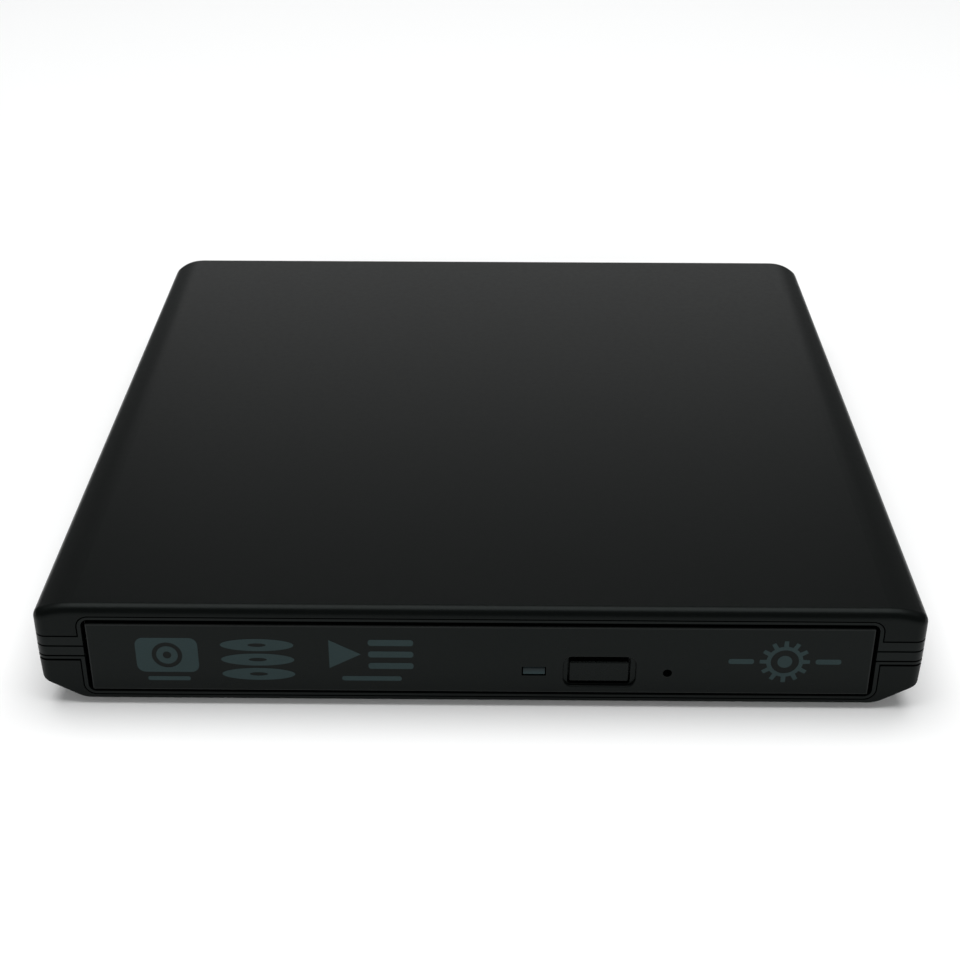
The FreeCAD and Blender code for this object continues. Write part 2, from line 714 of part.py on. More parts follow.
def tray_runner():
    """Channel under the tray's side that the telescopic rail runs in, open outward."""
    x = RUNNER_X
    inside = (RAIL_FRONT - 0.5, HOLDER_BACK + PAST)
    runner = block((x[0], x[3]), (TRAY_FRONT, HOLDER_BACK), (RAIL_MID - CHANNEL_HALF, DECK_BOTTOM))
    cavity = block((x[1], x[2]), inside, about(RAIL_MID, RAIL_FLANGE_HALF + RAIL_FIT))
    slot = block((x[1], x[3] + PAST), inside, about(RAIL_MID, RAIL_WEB_HALF + RAIL_FIT))
    return runner.cut([cavity, slot])


def damper_places():
    """Where the traverse hangs on the tray, in the traverse's own layout."""
    return ((-20.5, 11.5), (20.5, 11.5), (21.5, -48.0))


def tray_skirts():
    """Walls and bosses below the deck."""
    inner = RUNNER_X[0]
    z = (SKIRT_BOTTOM, DECK_BOTTOM)
    walls = [
        block((-inner, inner), (TRAY_FRONT, TRAY_FRONT + SKIRT_WALL), z),
        block((-inner, inner), (SKIRT_BACK - SKIRT_WALL, SKIRT_BACK), z),
    ]
    for at in damper_places():
        walls.append(on_traverse(tube(2.3, 0.9, at, (DAMPER_TOP, DECK_BOTTOM))))
    for x in (-48.0, 30.0, 54.0):
        walls.append(post(1.8, (x, 36.0), (TRAY_BOARD_Z[1], DECK_BOTTOM)))
    walls.append(post(PIVOT_RADIUS, LATCH_PIVOT, (SKIRT_BOTTOM + 0.3, DECK_BOTTOM)))
    return walls


def tray_cuts():
    """Passages through the tray's walls for the button, light pipe, eject pin and striker."""
    y = (TRAY_FRONT - PAST, TRAY_FRONT + SKIRT_WALL + PAST)
    play = 0.3
    return [
        bar(STEM_RADIUS + play, *BUTTON_CENTRE, y),
        block(grown(LENS_X, play), y, grown(LENS_Z, play)),
        bar(PINHOLE_RADIUS + play, PINHOLE_X, PINHOLE_Z, y),
        striker_lane((SKIRT_BACK - SKIRT_WALL - PAST, SKIRT_BACK + PAST)),
    ]


def striker_lane(y):
    """Room that the striker needs as it passes under the tray."""
    return block(about(POST_AT[0], POST_RADIUS + 0.6), y, (SKIRT_BOTTOM - PAST, POST_TOP + 0.3))


def tray():
    tab = block(TAB_X, (SKIN_BACK, TRAY_FRONT), TAB_Z)
    parts = [tray_deck()] + both_sides(tray_runner()) + tray_skirts() + both_sides(tab)
    return join(parts).cut(tray_cuts())


def front_bezel():
    """Hollow-backed face plate of the tray with the button pocket, light window and eject pinhole."""
    x = (-DRIVE_HALF, DRIVE_HALF)
    z = (BEZEL_BOTTOM, DRIVE_TOP)
    bezel = block(x, (BEZEL_FRONT, BEZEL_BACK), z)
    bezel = fillet_where(bezel, BEZEL_EDGE, lambda m, b: near(m.y, BEZEL_FRONT) or runs_along(b, "y"))
    hollow = block(grown(x, -BEZEL_RIM), (SKIN_BACK, BEZEL_BACK + PAST), grown(z, -BEZEL_RIM))
    skin = (BEZEL_FRONT - PAST, SKIN_BACK + PAST)
    pocket = rounded_along(POCKET_X, (skin[0], BEZEL_FRONT + POCKET_DEPTH), POCKET_Z, POCKET_CORNER, "y")
    gap_x = grown(BUTTON_X, BUTTON_GAP_X)
    gap = rounded_along(gap_x, skin, grown(BUTTON_Z, BUTTON_GAP_Z), BUTTON_GAP_CORNER, "y")
    window = block(WINDOW_X, skin, WINDOW_Z)
    pinhole = bar(PINHOLE_RADIUS, PINHOLE_X, PINHOLE_Z, skin)
    bezel = bezel.cut([hollow, pocket, gap, window, pinhole])
    return fillet_where(bezel, POCKET_LIP, pocket_lip)


def pocket_lip(middle, box):
    """Edges of the button pocket's mouth on the bezel's face."""
    x = grown(POCKET_X, 0.1)
    z = grown(POCKET_Z, 0.1)
    return x[0] < middle.x < x[1] and z[0] < middle.z < z[1] and near(middle.y, BEZEL_FRONT)


def led_lens():
    """Light pipe from the lamp on the board to the bezel's window, rounded off at its top front edge."""
    face = BEZEL_FRONT + 0.12
    pipe = block(LENS_X, (face, LAMP_FRONT - 0.05), LENS_Z)
    return fillet_where(pipe, 0.5, lambda m, b: near(m.y, face) and near(m.z, LENS_Z[1]))


def eject_button():
    """Key with a flange behind the bezel and a stem that reaches the switch."""
    flange_y = (SKIN_BACK + 0.05, SKIN_BACK + 0.7)
    key = block(BUTTON_X, (BUTTON_FACE, SKIN_BACK + 0.1), BUTTON_Z)
    key = fillet_where(key, BUTTON_EDGE, lambda m, b: near(m.y, BUTTON_FACE) or runs_along(b, "y"))
    flange = block(grown(BUTTON_X, 1.1), flange_y, grown(BUTTON_Z, 0.6))
    stem = bar(STEM_RADIUS, *BUTTON_CENTRE, (flange_y[1], -66.75))
    return join([key, flange, stem])


def button_spring():
    y = (SKIN_BACK + 0.75, TRAY_FRONT - 0.05)
    return bar(1.7, *BUTTON_CENTRE, y).cut(bar(1.25, *BUTTON_CENTRE, grown(y, PAST)))


def button_board():
    """Small board under the tray's front edge, with the lamp on it."""
    board = block((4.0, 27.0), (LAMP_FRONT - 0.05, -59.0), FRONT_BOARD_Z)
    lamp = block((7.4, 10.4), (LAMP_FRONT, -64.4), (FRONT_BOARD_Z[1], 8.2))
    return join([board, lamp])


def eject_switch():
    """Push switch with a short plunger that the button's stem reaches at the end of its travel."""
    body = block(about(BUTTON_CENTRE[0], SWITCH_HALF), SWITCH_Y, (FRONT_BOARD_Z[1], 8.9))
    plunger = bar(0.8, *BUTTON_CENTRE, (SWITCH_Y[0] - 0.45, SWITCH_Y[0]))
    return join([body, plunger])


def tray_board():
    """Main board of the drive, hung under the back of the tray."""
    return block((-52.0, 56.0), TRAY_BOARD_Y, TRAY_BOARD_Z)


def tray_chips():
    """Packages under the tray's board."""
    processor = ((-10.0, 4.0), (28.0, 41.5), 1.4)
    memory = ((10.0, 20.0), (29.0, 37.0), 1.1)
    driver = ((-48.0, -39.0), (29.0, 40.0), 1.0)
    regulator = ((24.0, 30.0), (38.5, 41.5), 1.2)
    small_parts = [((x, x + 1.4), (39.0, 41.0), 0.8) for x in (-36.0, -33.5, 22.0, 33.0, 50.0)]
    under = TRAY_BOARD_Z[0]
    chips = []
    for x, y, height in [processor, memory, driver, regulator] + small_parts:
        chips.append(block(x, y, (under - height, under)))
    return group(chips)


def board_connector():
    """Clamp for the flat cable on the tray's board."""
    return block(CABLE_CLAMP_X, (30.4, 33.4), (6.1, TRAY_BOARD_Z[0]))


def base_connector():
    """Clamp for the flat cable on the chassis board."""
    return block(CABLE_CLAMP_X, (47.4, 50.4), (REAR_BOARD_Z[1], 6.2))


def flex_cable():
    """Flat cable folded under the tray: fixed to the chassis below and to the tray above."""
    x = CABLE_X
    film = CABLE_THICKNESS
    low = (CABLE_LOW, CABLE_LOW + film)
    high = (CABLE_HIGH, CABLE_HIGH + film)
    fold = -20.0
    leaves = [block(x, (fold - film, fold), (low[0], high[1]))]
    for leaf, end, clamp, rise in ((low, 46.4, 47.4, 5.4), (high, 30.3, 30.4, 6.8)):
        leaves.append(block(x, (fold, end), leaf))
        leaves.append(block(x, (end - film, end), (leaf[0], rise)))
        leaves.append(block(x, (end - film, clamp), (rise - film, rise)))
    return join(leaves)


def tray_shield():
    """Thin sheet under the tray, clear of the striker's lane."""
    back = 42.5
    sheet = block((-57.0, 36.5), (-64.0, back), SHIELD_Z)
    notch = block(grown(CABLE_CLAMP_X, 1.0), (26.0, back + PAST), grown(SHIELD_Z, PAST))
    tabs = []
    for x in (-45.0, 15.0):
        tabs.append(block((x, x + 3.0), (back - 0.5, SKIRT_BACK - SKIRT_WALL), (SHIELD_Z[0], 6.0)))
    return join([sheet.cut(notch)] + tabs)


# ---- Traverse ----
def traverse_plate():
    """Sheet frame that carries the spindle motor and the pickup's rods, with a window for the sled."""
    plate = on_traverse(block(about(0, 25.0), (-67.5, 16.0), PLATE_Z))
    plate = plate.common(block((-57.6, 60.0), (-65.6, 60.0), ALL_HEIGHTS))
    cuts = [block(about(0, 15.0), (-63.6, -15.2), ALL_HEIGHTS), post(MOTOR_BORE, (0, 0), ALL_HEIGHTS)]
    cuts += [post(SLEEVE_RADIUS + 0.1, at, ALL_HEIGHTS) for at in damper_places()]
    return plate.cut([on_traverse(cut) for cut in cuts])


def rubber_dampers():
    """Grommets between the traverse and the tray's bosses."""
    dampers = []
    bore = 1.0
    for at in damper_places():
        upper = tube(2.4, bore, at, (PLATE_Z[1], DAMPER_TOP))
        sleeve = tube(SLEEVE_RADIUS, bore, at, (PLATE_Z[0], PLATE_Z[1] + 0.1))
        dampers.append(on_traverse(join([upper, sleeve])))
    return group(dampers)


def traverse_screws():
    z = (PLATE_Z[0] - 0.35, 9.6)
    return group([on_traverse(screw(at, 2.1, 0.85, z, 0.35, 1.2)) for at in damper_places()])


def traverse_cover():
    """Stamped plate that closes the tray's window round the spindle and along the pickup's slot."""
    z = grown(COVER_Z, PAST)
    slot = on_traverse(rounded_along(about(0, 7.2), (-66.0, -16.6), z, 2.0, "z"))
    edge = post(RECESS_RADIUS - COVER_MARGIN - COVER_PLAY, DISC_AT, z)
    hole = post(ROTOR_RADIUS + 0.6, DISC_AT, z)
    return window_shape(0, COVER_Z).common(edge).cut([slot, hole])


def spindle_motor():
    """Motor's fixed half: base plate, wound core and bearing sleeve."""
    plate_top = PLATE_Z[1] + 0.5
    base = tube(12.5, 1.6, (0, 0), (PLATE_Z[1], plate_top))
    sleeve = tube(MOTOR_BORE, SHAFT_RADIUS + ROD_PLAY, (0, 0), (PLATE_Z[1], 9.0))
    core = tube(5.2, MOTOR_BORE, (0, 0), (plate_top, 8.6))
    arm = block((5.0, 9.3), about(0, 1.2), (6.5, 8.4))
    return on_traverse(join([base, sleeve, core] + turned_copies(arm, 9)))


def turned_copies(shape, count):
    """Copies of a shape, evenly turned about the spindle axis."""
    copies = []
    for index in range(count):
        turned = shape.copy()
        turned.rotate(Vector(0, 0, 0), Z_AXIS, index * 360.0 / count)
        copies.append(turned)
    return copies


def spindle_rotor():
    """Motor's turning half: shaft, cup and turntable."""
    cup_top = 9.6
    cup = tube(ROTOR_RADIUS, 10.6, (0, 0), (6.8, cup_top))
    top = post(ROTOR_RADIUS, (0, 0), (cup_top - 0.1, DISC_SEAT))
    groove = tube(*GRIP_RADII, (0, 0), (GRIP_LOW, DISC_SEAT + PAST))
    shaft = post(SHAFT_RADIUS, (0, 0), (6.2, cup_top))
    return on_traverse(join([cup, top, shaft]).cut(groove))


def turntable_ring():
    """Rubber ring that grips the disc."""
    return on_traverse(tube(*GRIP_RADII, (0, 0), (GRIP_LOW, DISC_SEAT)))


def disc_hub():
    """Centring hub that the disc snaps on to, slit round three claws, with a coned nose."""
    wall_top = DISC_SEAT + HUB_WALL
    above = wall_top + HUB_NOSE + PAST
    wall = post(HUB_RADIUS, (0, 0), (DISC_SEAT, wall_top))
    nose = Part.makeCone(HUB_RADIUS, 5.6, HUB_NOSE, Vector(0, 0, wall_top), Z_AXIS)
    cuts = [post(2.2, (0, 0), (wall_top - 0.2, above))]
    for side in (-2.2, 2.2):
        slit = block((4.4, HUB_RADIUS + PAST), about(side, 0.2), (DISC_SEAT + 0.4, above))
        cuts += turned_copies(slit, 3)
    return on_traverse(join([wall, nose]).cut(cuts))


def rod(x):
    return bar(ROD_RADIUS, x, ROD_Z, ROD_Y)


def guide_rods():
    return group([on_traverse(rod(x)) for x in (-ROD_X, ROD_X)])


def rod_clamps():
    """Blocks that hold the rods' ends on the traverse."""
    clamps = []
    for x in (-ROD_X, ROD_X):
        for y in ((ROD_Y[0] - 0.3, ROD_Y[0] + 1.7), (ROD_Y[1] - 2.4, ROD_Y[1] + 0.2)):
            clamp = block(about(x, 1.7), y, (PLATE_Z[1], 9.3))
            clamps.append(on_traverse(clamp.cut(rod(x))))
    return group(clamps)


def pickup_sled():
    """Optical head: a die-cast body on two rods, with the follower that rides the lead screw."""
    lens_y = -LENS_START
    fit = ROD_RADIUS + ROD_PLAY
    body = block(about(0, SLED_HALF), (lens_y - 5.8, lens_y + 6.5), (5.2, 9.4))
    ears = [block(span, about(lens_y, 3.0), (5.85, 9.2)) for span in EAR_X]
    follower = block((-21.0, -19.3), (lens_y + 0.6, lens_y + 2.8), (6.6, 8.4))
    bore = bar(fit, -ROD_X, ROD_Z, ROD_Y)
    open_slot = block((ROD_X - fit, EAR_X[1][1] + PAST), ROD_Y, about(ROD_Z, fit))
    well = block(about(0, 5.4), about(lens_y, 4.4), (WELL_FLOOR, 9.4 + PAST))
    return on_traverse(join([body, follower] + ears).cut([bore, open_slot, well]))


def lens_holder():
    """Actuator that carries the lens and floats in the head's well."""
    holder_top = 9.2
    collar_top = 10.3
    holder = block(about(0, 4.6), about(-LENS_START, 3.6), (7.75, holder_top))
    collar = post(LENS_RADIUS + 0.6, (0, -LENS_START), (holder_top - 0.1, collar_top))
    bore = post(LENS_RADIUS, (0, -LENS_START), (8.5, collar_top + PAST))
    return on_traverse(join([holder, collar]).cut(bore))


def objective_lens():
    """The lens: a slice of a ball, flat below, that fills the holder's collar."""
    ball = Part.makeSphere(4.2, Vector(0, -LENS_START, 6.3))
    barrel = post(LENS_RADIUS, (0, -LENS_START), (9.0, 12.0))
    return on_traverse(ball.common(barrel))


def lead_screw():
    """Screw that draws the head along its rods."""
    shaft = bar(SCREW_RADIUS, SCREW_X, ROD_Z, (SCREW_END, SLED_MOTOR_Y[0] - 0.1))
    tip = bar(TIP_RADIUS, SCREW_X, ROD_Z, (SCREW_END - 1.4, SCREW_END))
    return on_traverse(join([shaft, tip]))


def screw_bracket():
    """Bearing block at the lead screw's far end."""
    y = (SCREW_END - 1.6, SCREW_END - 0.2)
    bracket = block(about(SCREW_X, 1.1), y, (PLATE_Z[1], 8.9))
    return on_traverse(bracket.cut(bar(TIP_RADIUS + ROD_PLAY, SCREW_X, ROD_Z, grown(y, PAST))))


def sled_motor():
    """Stepper with flats above and below, on the inner end of the lead screw."""
    radius = 3.1
    can = bar(radius, SCREW_X, ROD_Z, SLED_MOTOR_Y)
    flats = block(about(SCREW_X, radius + PAST), grown(SLED_MOTOR_Y, PAST), (PLATE_Z[1], 9.45))
    return on_traverse(can.common(flats))


# ---- Latch ----
def latch_hook():
    """Lever on an upright pivot: a hook behind the striker, a tab for the pin and an arm to the plunger."""
    px, py = LATCH_PIVOT
    z = LATCH_Z
    tab_x = about(PINHOLE_X, 1.5)
    hook_x = (POST_AT[0] - 0.6, px - 1.0)
    hook_y = (POST_AT[1] + POST_RADIUS + 0.2, POST_AT[1] + 3.1)
    arm_y = about(py, 0.5)
    fork_x = (px + 6.0, px + 9.0)
    pieces = [
        post(2.2, LATCH_PIVOT, z),
        block((tab_x[0], px), (py - 1.9, py - 0.4), z),
        block(tab_x, (py - 1.9, py - 0.9), (z[0], 8.6)),
        block((px - 3.0, px - 0.8), (py, hook_y[1]), z),
        block(hook_x, hook_y, z),
        block((px, px + 7.0), arm_y, z),
        block(fork_x, arm_y, (5.9, 8.6)),
    ]
    fork = block((px + 7.5, fork_x[1] + PAST), grown(arm_y, PAST), about(sum(z) / 2, 0.6))
    return join(pieces).cut([post(PIVOT_RADIUS + 0.05, LATCH_PIVOT, ALL_HEIGHTS), fork])


def latch_plunger():
    """Iron core of the solenoid, with a grooved head that the lever's arm sits in."""
    y = LATCH_PIVOT[1]
    z = sum(LATCH_Z) / 2
    core = bar(PLUNGER_RADIUS, PLUNGER_X, z, (y + 0.9, -47.0))
    neck = bar(0.5, PLUNGER_X, z, (y - 1.0, y + 0.9))
    head = bar(PLUNGER_RADIUS, PLUNGER_X, z, (y - 1.5, y - 0.9))
    return join([core, neck, head])


def latch_solenoid():
    """Coil housing that holds and releases the plunger."""
    body = block(about(PLUNGER_X, 4.2), (-57.2, -44.5), (4.8, 9.5))
    return body.cut(bar(PLUNGER_RADIUS + 0.1, PLUNGER_X, sum(LATCH_Z) / 2, (-60.0, -46.5)))


# ---- Build ----
BUILDERS = {
    "top_cover": top_cover,
    "bottom_cover": bottom_cover,
    "mid_frame": mid_frame,
    "rubber_feet": rubber_feet,
    "case_screws": case_screws,
    "bridge_board": bridge_board,
    "board_screws": board_screws,
    "bridge_parts": bridge_parts,
    "usb_socket": usb_socket,
    "power_socket": power_socket,
    "drive_socket": drive_socket,
    "drive_plug": drive_plug,
    "rear_board": rear_board,
    "drive_base": drive_base,
    "drive_lid": drive_lid,
    "latch_post": latch_post,
    "rail_screws": rail_screws,
    "rail_holder_right": rail_holder,
    "rail_holder_left": lambda: mirrored(rail_holder()),
    "rail_right": sliding_rail,
    "rail_left": lambda: mirrored(sliding_rail()),
    "ejector_housing": ejector_housing,
    "ejector_pin": ejector_pin,
    "ejector_spring": ejector_spring,
    "tray": tray,
    "front_bezel": front_bezel,
    "led_lens": led_lens,
    "eject_button": eject_button,
    "button_spring": button_spring,
    "button_board": button_board,
    "eject_switch": eject_switch,
    "tray_board": tray_board,
    "tray_chips": tray_chips,
    "board_connector": board_connector,
    "base_connector": base_connector,
    "flex_cable": flex_cable,
    "tray_shield": tray_shield,
    "traverse_plate": traverse_plate,
    "rubber_dampers": rubber_dampers,
    "traverse_screws": traverse_screws,
    "traverse_cover": traverse_cover,
    "spindle_motor": spindle_motor,
    "spindle_rotor": spindle_rotor,
    "turntable_ring": turntable_ring,
    "disc_hub": disc_hub,
    "guide_rods": guide_rods,
    "rod_clamps": rod_clamps,
    "pickup_sled": pickup_sled,
    "lens_holder": lens_holder,
    "objective_lens": objective_lens,
    "lead_screw": lead_screw,
    "screw_bracket": screw_bracket,
    "sled_motor": sled_motor,
    "latch_hook": latch_hook,
    "latch_plunger": latch_plunger,
    "latch_solenoid": latch_solenoid,
}

os.makedirs("parts", exist_ok=True)
for name, builder in BUILDERS.items():
    shape = builder()
    shape.exportStep("parts/" + name + ".step")
    print(name, len(shape.Solids), shape.isValid(), round(shape.Volume, 2))
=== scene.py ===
import json
import math

import bmesh
import bpy
from mathutils import Matrix, Vector


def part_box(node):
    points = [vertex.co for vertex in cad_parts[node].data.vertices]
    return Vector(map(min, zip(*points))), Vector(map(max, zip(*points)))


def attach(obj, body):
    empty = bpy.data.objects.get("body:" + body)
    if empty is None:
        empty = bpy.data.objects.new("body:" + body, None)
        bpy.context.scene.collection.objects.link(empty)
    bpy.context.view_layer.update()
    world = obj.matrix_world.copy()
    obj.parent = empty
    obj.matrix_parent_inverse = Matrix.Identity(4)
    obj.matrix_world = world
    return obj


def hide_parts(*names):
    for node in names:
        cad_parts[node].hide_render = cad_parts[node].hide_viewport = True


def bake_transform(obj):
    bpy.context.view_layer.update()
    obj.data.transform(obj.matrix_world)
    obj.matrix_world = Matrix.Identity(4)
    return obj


# External optical drive. Metres, +Z up, front faces -Y.
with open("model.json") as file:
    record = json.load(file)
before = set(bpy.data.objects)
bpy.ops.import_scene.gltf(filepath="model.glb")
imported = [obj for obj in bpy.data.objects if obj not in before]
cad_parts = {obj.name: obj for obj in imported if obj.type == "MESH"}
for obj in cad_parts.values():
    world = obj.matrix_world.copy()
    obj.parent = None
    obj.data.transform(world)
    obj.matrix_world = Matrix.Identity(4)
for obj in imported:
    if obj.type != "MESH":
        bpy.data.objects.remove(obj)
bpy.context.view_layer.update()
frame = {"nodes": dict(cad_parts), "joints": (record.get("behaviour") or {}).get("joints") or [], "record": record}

MM = 0.001


# ---- Node helpers ----
class Look:
    """A material whose colour, roughness and relief are worked out from the place on the object."""

    def __init__(self, name, colour, roughness, metallic=0.0, specular=0.5):
        self.material = bpy.data.materials.new(name)
        self.material.use_nodes = True
        self.tree = self.material.node_tree
        self.shader = self.tree.nodes["Principled BSDF"]
        self.colour = colour
        self.roughness = roughness
        self.relief = None
        self.shader.inputs["Metallic"].default_value = metallic
        self.shader.inputs["Specular IOR Level"].default_value = specular
        self.place = self.tree.nodes.new("ShaderNodeTexCoord").outputs["Object"]

    def node(self, kind, settings=None, **inputs):
        made = self.tree.nodes.new("ShaderNode" + kind)
        for key, value in (settings or {}).items():
            setattr(made, key, value)
        for key, value in inputs.items():
            self.feed(made.inputs[key.replace("_", " ")], value)
        return made

    def feed(self, socket, value):
        if isinstance(value, bpy.types.NodeSocket):
            self.tree.links.new(value, socket)
        else:
            socket.default_value = value

    def math(self, operation, *values):
        made = self.tree.nodes.new("ShaderNodeMath")
        made.operation = operation
        for socket, value in zip(made.inputs, values):
            self.feed(socket, value)
        return made.outputs[0]

    def ramp(self, value, low, high, to_low=0.0, to_high=1.0):
        made = self.node("MapRange", {"clamp": True}, Value=value)
        for key, number in (("From Min", low), ("From Max", high), ("To Min", to_low), ("To Max", to_high)):
            made.inputs[key].default_value = number
        return made.outputs["Result"]

    def stretched(self, factors):
        """The place on the object, scaled differently along X, Y and Z."""
        made = self.tree.nodes.new("ShaderNodeVectorMath")
        made.operation = "MULTIPLY"
        self.feed(made.inputs[0], self.place)
        made.inputs[1].default_value = factors
        return made.outputs[0]

    def noise(self, size, detail=2.0, factors=(1, 1, 1)):
        """Noise from 0 to 1 whose features are about this many millimetres across."""
        vector = self.place if tuple(factors) == (1, 1, 1) else self.stretched(factors)
        made = self.node("TexNoise", Vector=vector, Scale=1 / (size * MM), Detail=detail)
        return made.outputs["Fac"]

    def cells(self, size, settings=None, **inputs):
        return self.node("TexVoronoi", settings, Vector=self.place, Scale=1 / (size * MM), **inputs)

    def tint(self, factor, other):
        """Mix the colour so far towards another one."""
        made = self.tree.nodes.new("ShaderNodeMix")
        made.data_type = "RGBA"
        self.feed(made.inputs[0], factor)
        for index, colour in ((6, self.colour), (7, other)):
            self.feed(made.inputs[index], (*colour, 1) if isinstance(colour, tuple) else colour)
        self.colour = made.outputs[2]

    def shade(self, factor, low=0.8, high=1.2):
        """Make the colour darker and lighter with a value from 0 to 1."""
        if isinstance(self.colour, tuple):
            darker = tuple(low * c for c in self.colour)
            lighter = tuple(high * c for c in self.colour)
            self.colour = darker
            self.tint(factor, lighter)
            return
        scale = self.tree.nodes.new("ShaderNodeVectorMath")
        scale.operation = "SCALE"
        self.feed(scale.inputs[0], self.colour)
        self.feed(scale.inputs["Scale"], self.ramp(factor, 0, 1, low, high))
        self.colour = scale.outputs[0]

    def vary_roughness(self, factor, spread):
        """Spread the roughness about its value with a value from 0 to 1."""
        start = self.ramp(factor, 0.25, 0.75, -spread, spread)
        self.roughness = self.math("ADD", start, self.roughness)

    def raise_by(self, height, depth):
        """Relief of this many millimetres, added to what is there already."""
        made = self.node("Bump", Height=height, Strength=1.0, Distance=depth * MM)
        if self.relief:
            self.feed(made.inputs["Normal"], self.relief)
        self.relief = made.outputs["Normal"]

    def edge(self, radius):
        """A value that rises to 1 on outer and inner edges, within this many millimetres."""
        soft = self.node("Bevel", {"samples": 4}, Radius=radius * MM).outputs["Normal"]
        flat = self.tree.nodes.new("ShaderNodeNewGeometry").outputs["Normal"]
        along = self.tree.nodes.new("ShaderNodeVectorMath")
        along.operation = "DOT_PRODUCT"
        self.feed(along.inputs[0], soft)
        self.feed(along.inputs[1], flat)
        return self.ramp(along.outputs["Value"], 0.98, 0.80)

    def axis(self, name):
        return self.node("SeparateXYZ", Vector=self.place).outputs[name]

    def stripes(self, name, pitch, share):
        """1 on stripes that repeat along an axis at this pitch in millimetres, 0 between them."""
        turns = self.math("FRACT", self.math("DIVIDE", self.axis(name), pitch * MM))
        return self.ramp(turns, share, share + 0.06, 1.0, 0.0)

    def set(self, name, value):
        self.shader.inputs[name].default_value = value

    def done(self):
        base = (*self.colour, 1) if isinstance(self.colour, tuple) else self.colour
        self.feed(self.shader.inputs["Base Color"], base)
        self.feed(self.shader.inputs["Roughness"], self.roughness)
        if self.relief:
            self.feed(self.shader.inputs["Normal"], self.relief)
        return self.material


# ---- Materials: the sizes of their detail are in millimetres ----
COOL = (0.88, 1.0, 0.97, 1.0)
WEAR_AND_HIGHLIGHT_EDGE = 0.35
HIGHLIGHT_RIM_WIDTH = 0.28
TURNED_RING = 0.12
TRACK_PITCH = 0.55
TRACK_SHARE = 0.42
PATCH_SIZE = 5.5
HOLE_SPACING = 3.2
CONDUCTOR_PITCH = 0.8
WINDING_PITCH = 0.16


def highlight_rim_of(look, node, width):
    """Mask for a painted highlight: 1 along the front outline of a plate that faces -Y, within this many
    millimetres, and 0 elsewhere.
    """
    low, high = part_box(node)
    x, z = look.axis("X"), look.axis("Z")
    across = look.math("MINIMUM", look.math("SUBTRACT", x, low.x), look.math("SUBTRACT", high.x, x))
    upright = look.math("MINIMUM", look.math("SUBTRACT", z, low.z), look.math("SUBTRACT", high.z, z))
    nearest = look.math("MINIMUM", across, upright)
    close = look.ramp(nearest, 1.1 * width * MM, 0.8 * width * MM)
    front = look.ramp(look.axis("Y"), low.y + 1.1 * width * MM, low.y + 0.8 * width * MM)
    return look.math("MULTIPLY", close, front)


def moulded(name, colour, roughness, grain=0.3, depth=0.012, specular=0.3, wear_and_highlight=0.0, plate=None):
    """Injection-moulded plastic: spark-eroded grain, uneven gloss, edges lightened partly as wear and partly as a
    painted highlight, and a painted highlight along the front outline.
    """
    look = Look(name, colour, roughness, specular=specular)
    look.shade(look.noise(9.0, 3.0), 0.92, 1.08)
    look.shade(look.noise(0.5, 1.0), 0.85, 1.15)
    look.vary_roughness(look.noise(1.2, 3.0), 0.03)
    # Edges lightened partly as real wear and partly as a painted highlight along the fillets.
    if wear_and_highlight:
        patches = look.ramp(look.noise(2.5, 3.0), 0.3, 0.7, 0.4, 1.0)
        edge = look.math("MULTIPLY", look.edge(WEAR_AND_HIGHLIGHT_EDGE), patches)
        look.tint(look.math("MULTIPLY", edge, wear_and_highlight), tuple(2.2 * c + 0.006 for c in colour))
    # Painted highlight along the front outline of the plate.
    if plate:
        look.tint(highlight_rim_of(look, plate, HIGHLIGHT_RIM_WIDTH), tuple(2.5 * c + 0.007 for c in colour))
    look.raise_by(look.noise(grain, 2.0), depth)
    look.set("Specular Tint", COOL)
    return look.done()


def rubber(name, colour):
    look = Look(name, colour, 0.85, specular=0.25)
    look.shade(look.noise(1.5, 4.0), 0.8, 1.3)
    look.tint(look.ramp(look.noise(3.0, 5.0), 0.55, 0.75, 0.0, 0.35), (0.12, 0.12, 0.115))
    look.vary_roughness(look.noise(2.0, 2.0), 0.06)
    look.raise_by(look.noise(0.25, 3.0), 0.02)
    return look.done()


def rolled(name, colour, roughness, lines=(40, 1, 40), spangle=0.0, lined=False):
    """Rolled or drawn metal: fine lines one way, faint zinc spangle, and a black film on top where lined."""
    look = Look(name, colour, roughness, metallic=1.0)
    streaks = look.noise(3.0, 3.0, lines)
    look.shade(streaks, 0.88, 1.1)
    if spangle:
        flakes = look.cells(spangle).outputs["Color"]
        grey = look.node("SeparateColor", Color=flakes).outputs["Red"]
        look.shade(grey, 0.9, 1.08)
        look.vary_roughness(grey, 0.06)
    look.tint(look.ramp(look.noise(6.0, 4.0), 0.55, 0.8, 0.0, 0.3), (0.42, 0.40, 0.36))
    look.vary_roughness(streaks, 0.08)
    if lined:
        facing = look.tree.nodes.new("ShaderNodeNewGeometry").outputs["Normal"]
        upward = look.node("SeparateXYZ", Vector=facing).outputs["Z"]
        look.tint(look.ramp(upward, 0.4, 0.6), (0.016, 0.016, 0.018))
    look.raise_by(streaks, 0.004)
    return look.done()


def plated(name, colour, roughness, warm=(0.5, 0.48, 0.42)):
    """Zinc- or tin-plated small parts: cloudy colour and fine pits."""
    look = Look(name, colour, roughness, metallic=1.0)
    look.tint(look.ramp(look.noise(1.2, 4.0), 0.4, 0.7, 0.0, 0.6), warm)
    look.vary_roughness(look.noise(0.8, 3.0), 0.1)
    look.raise_by(look.noise(0.2, 3.0), 0.006)
    return look.done()


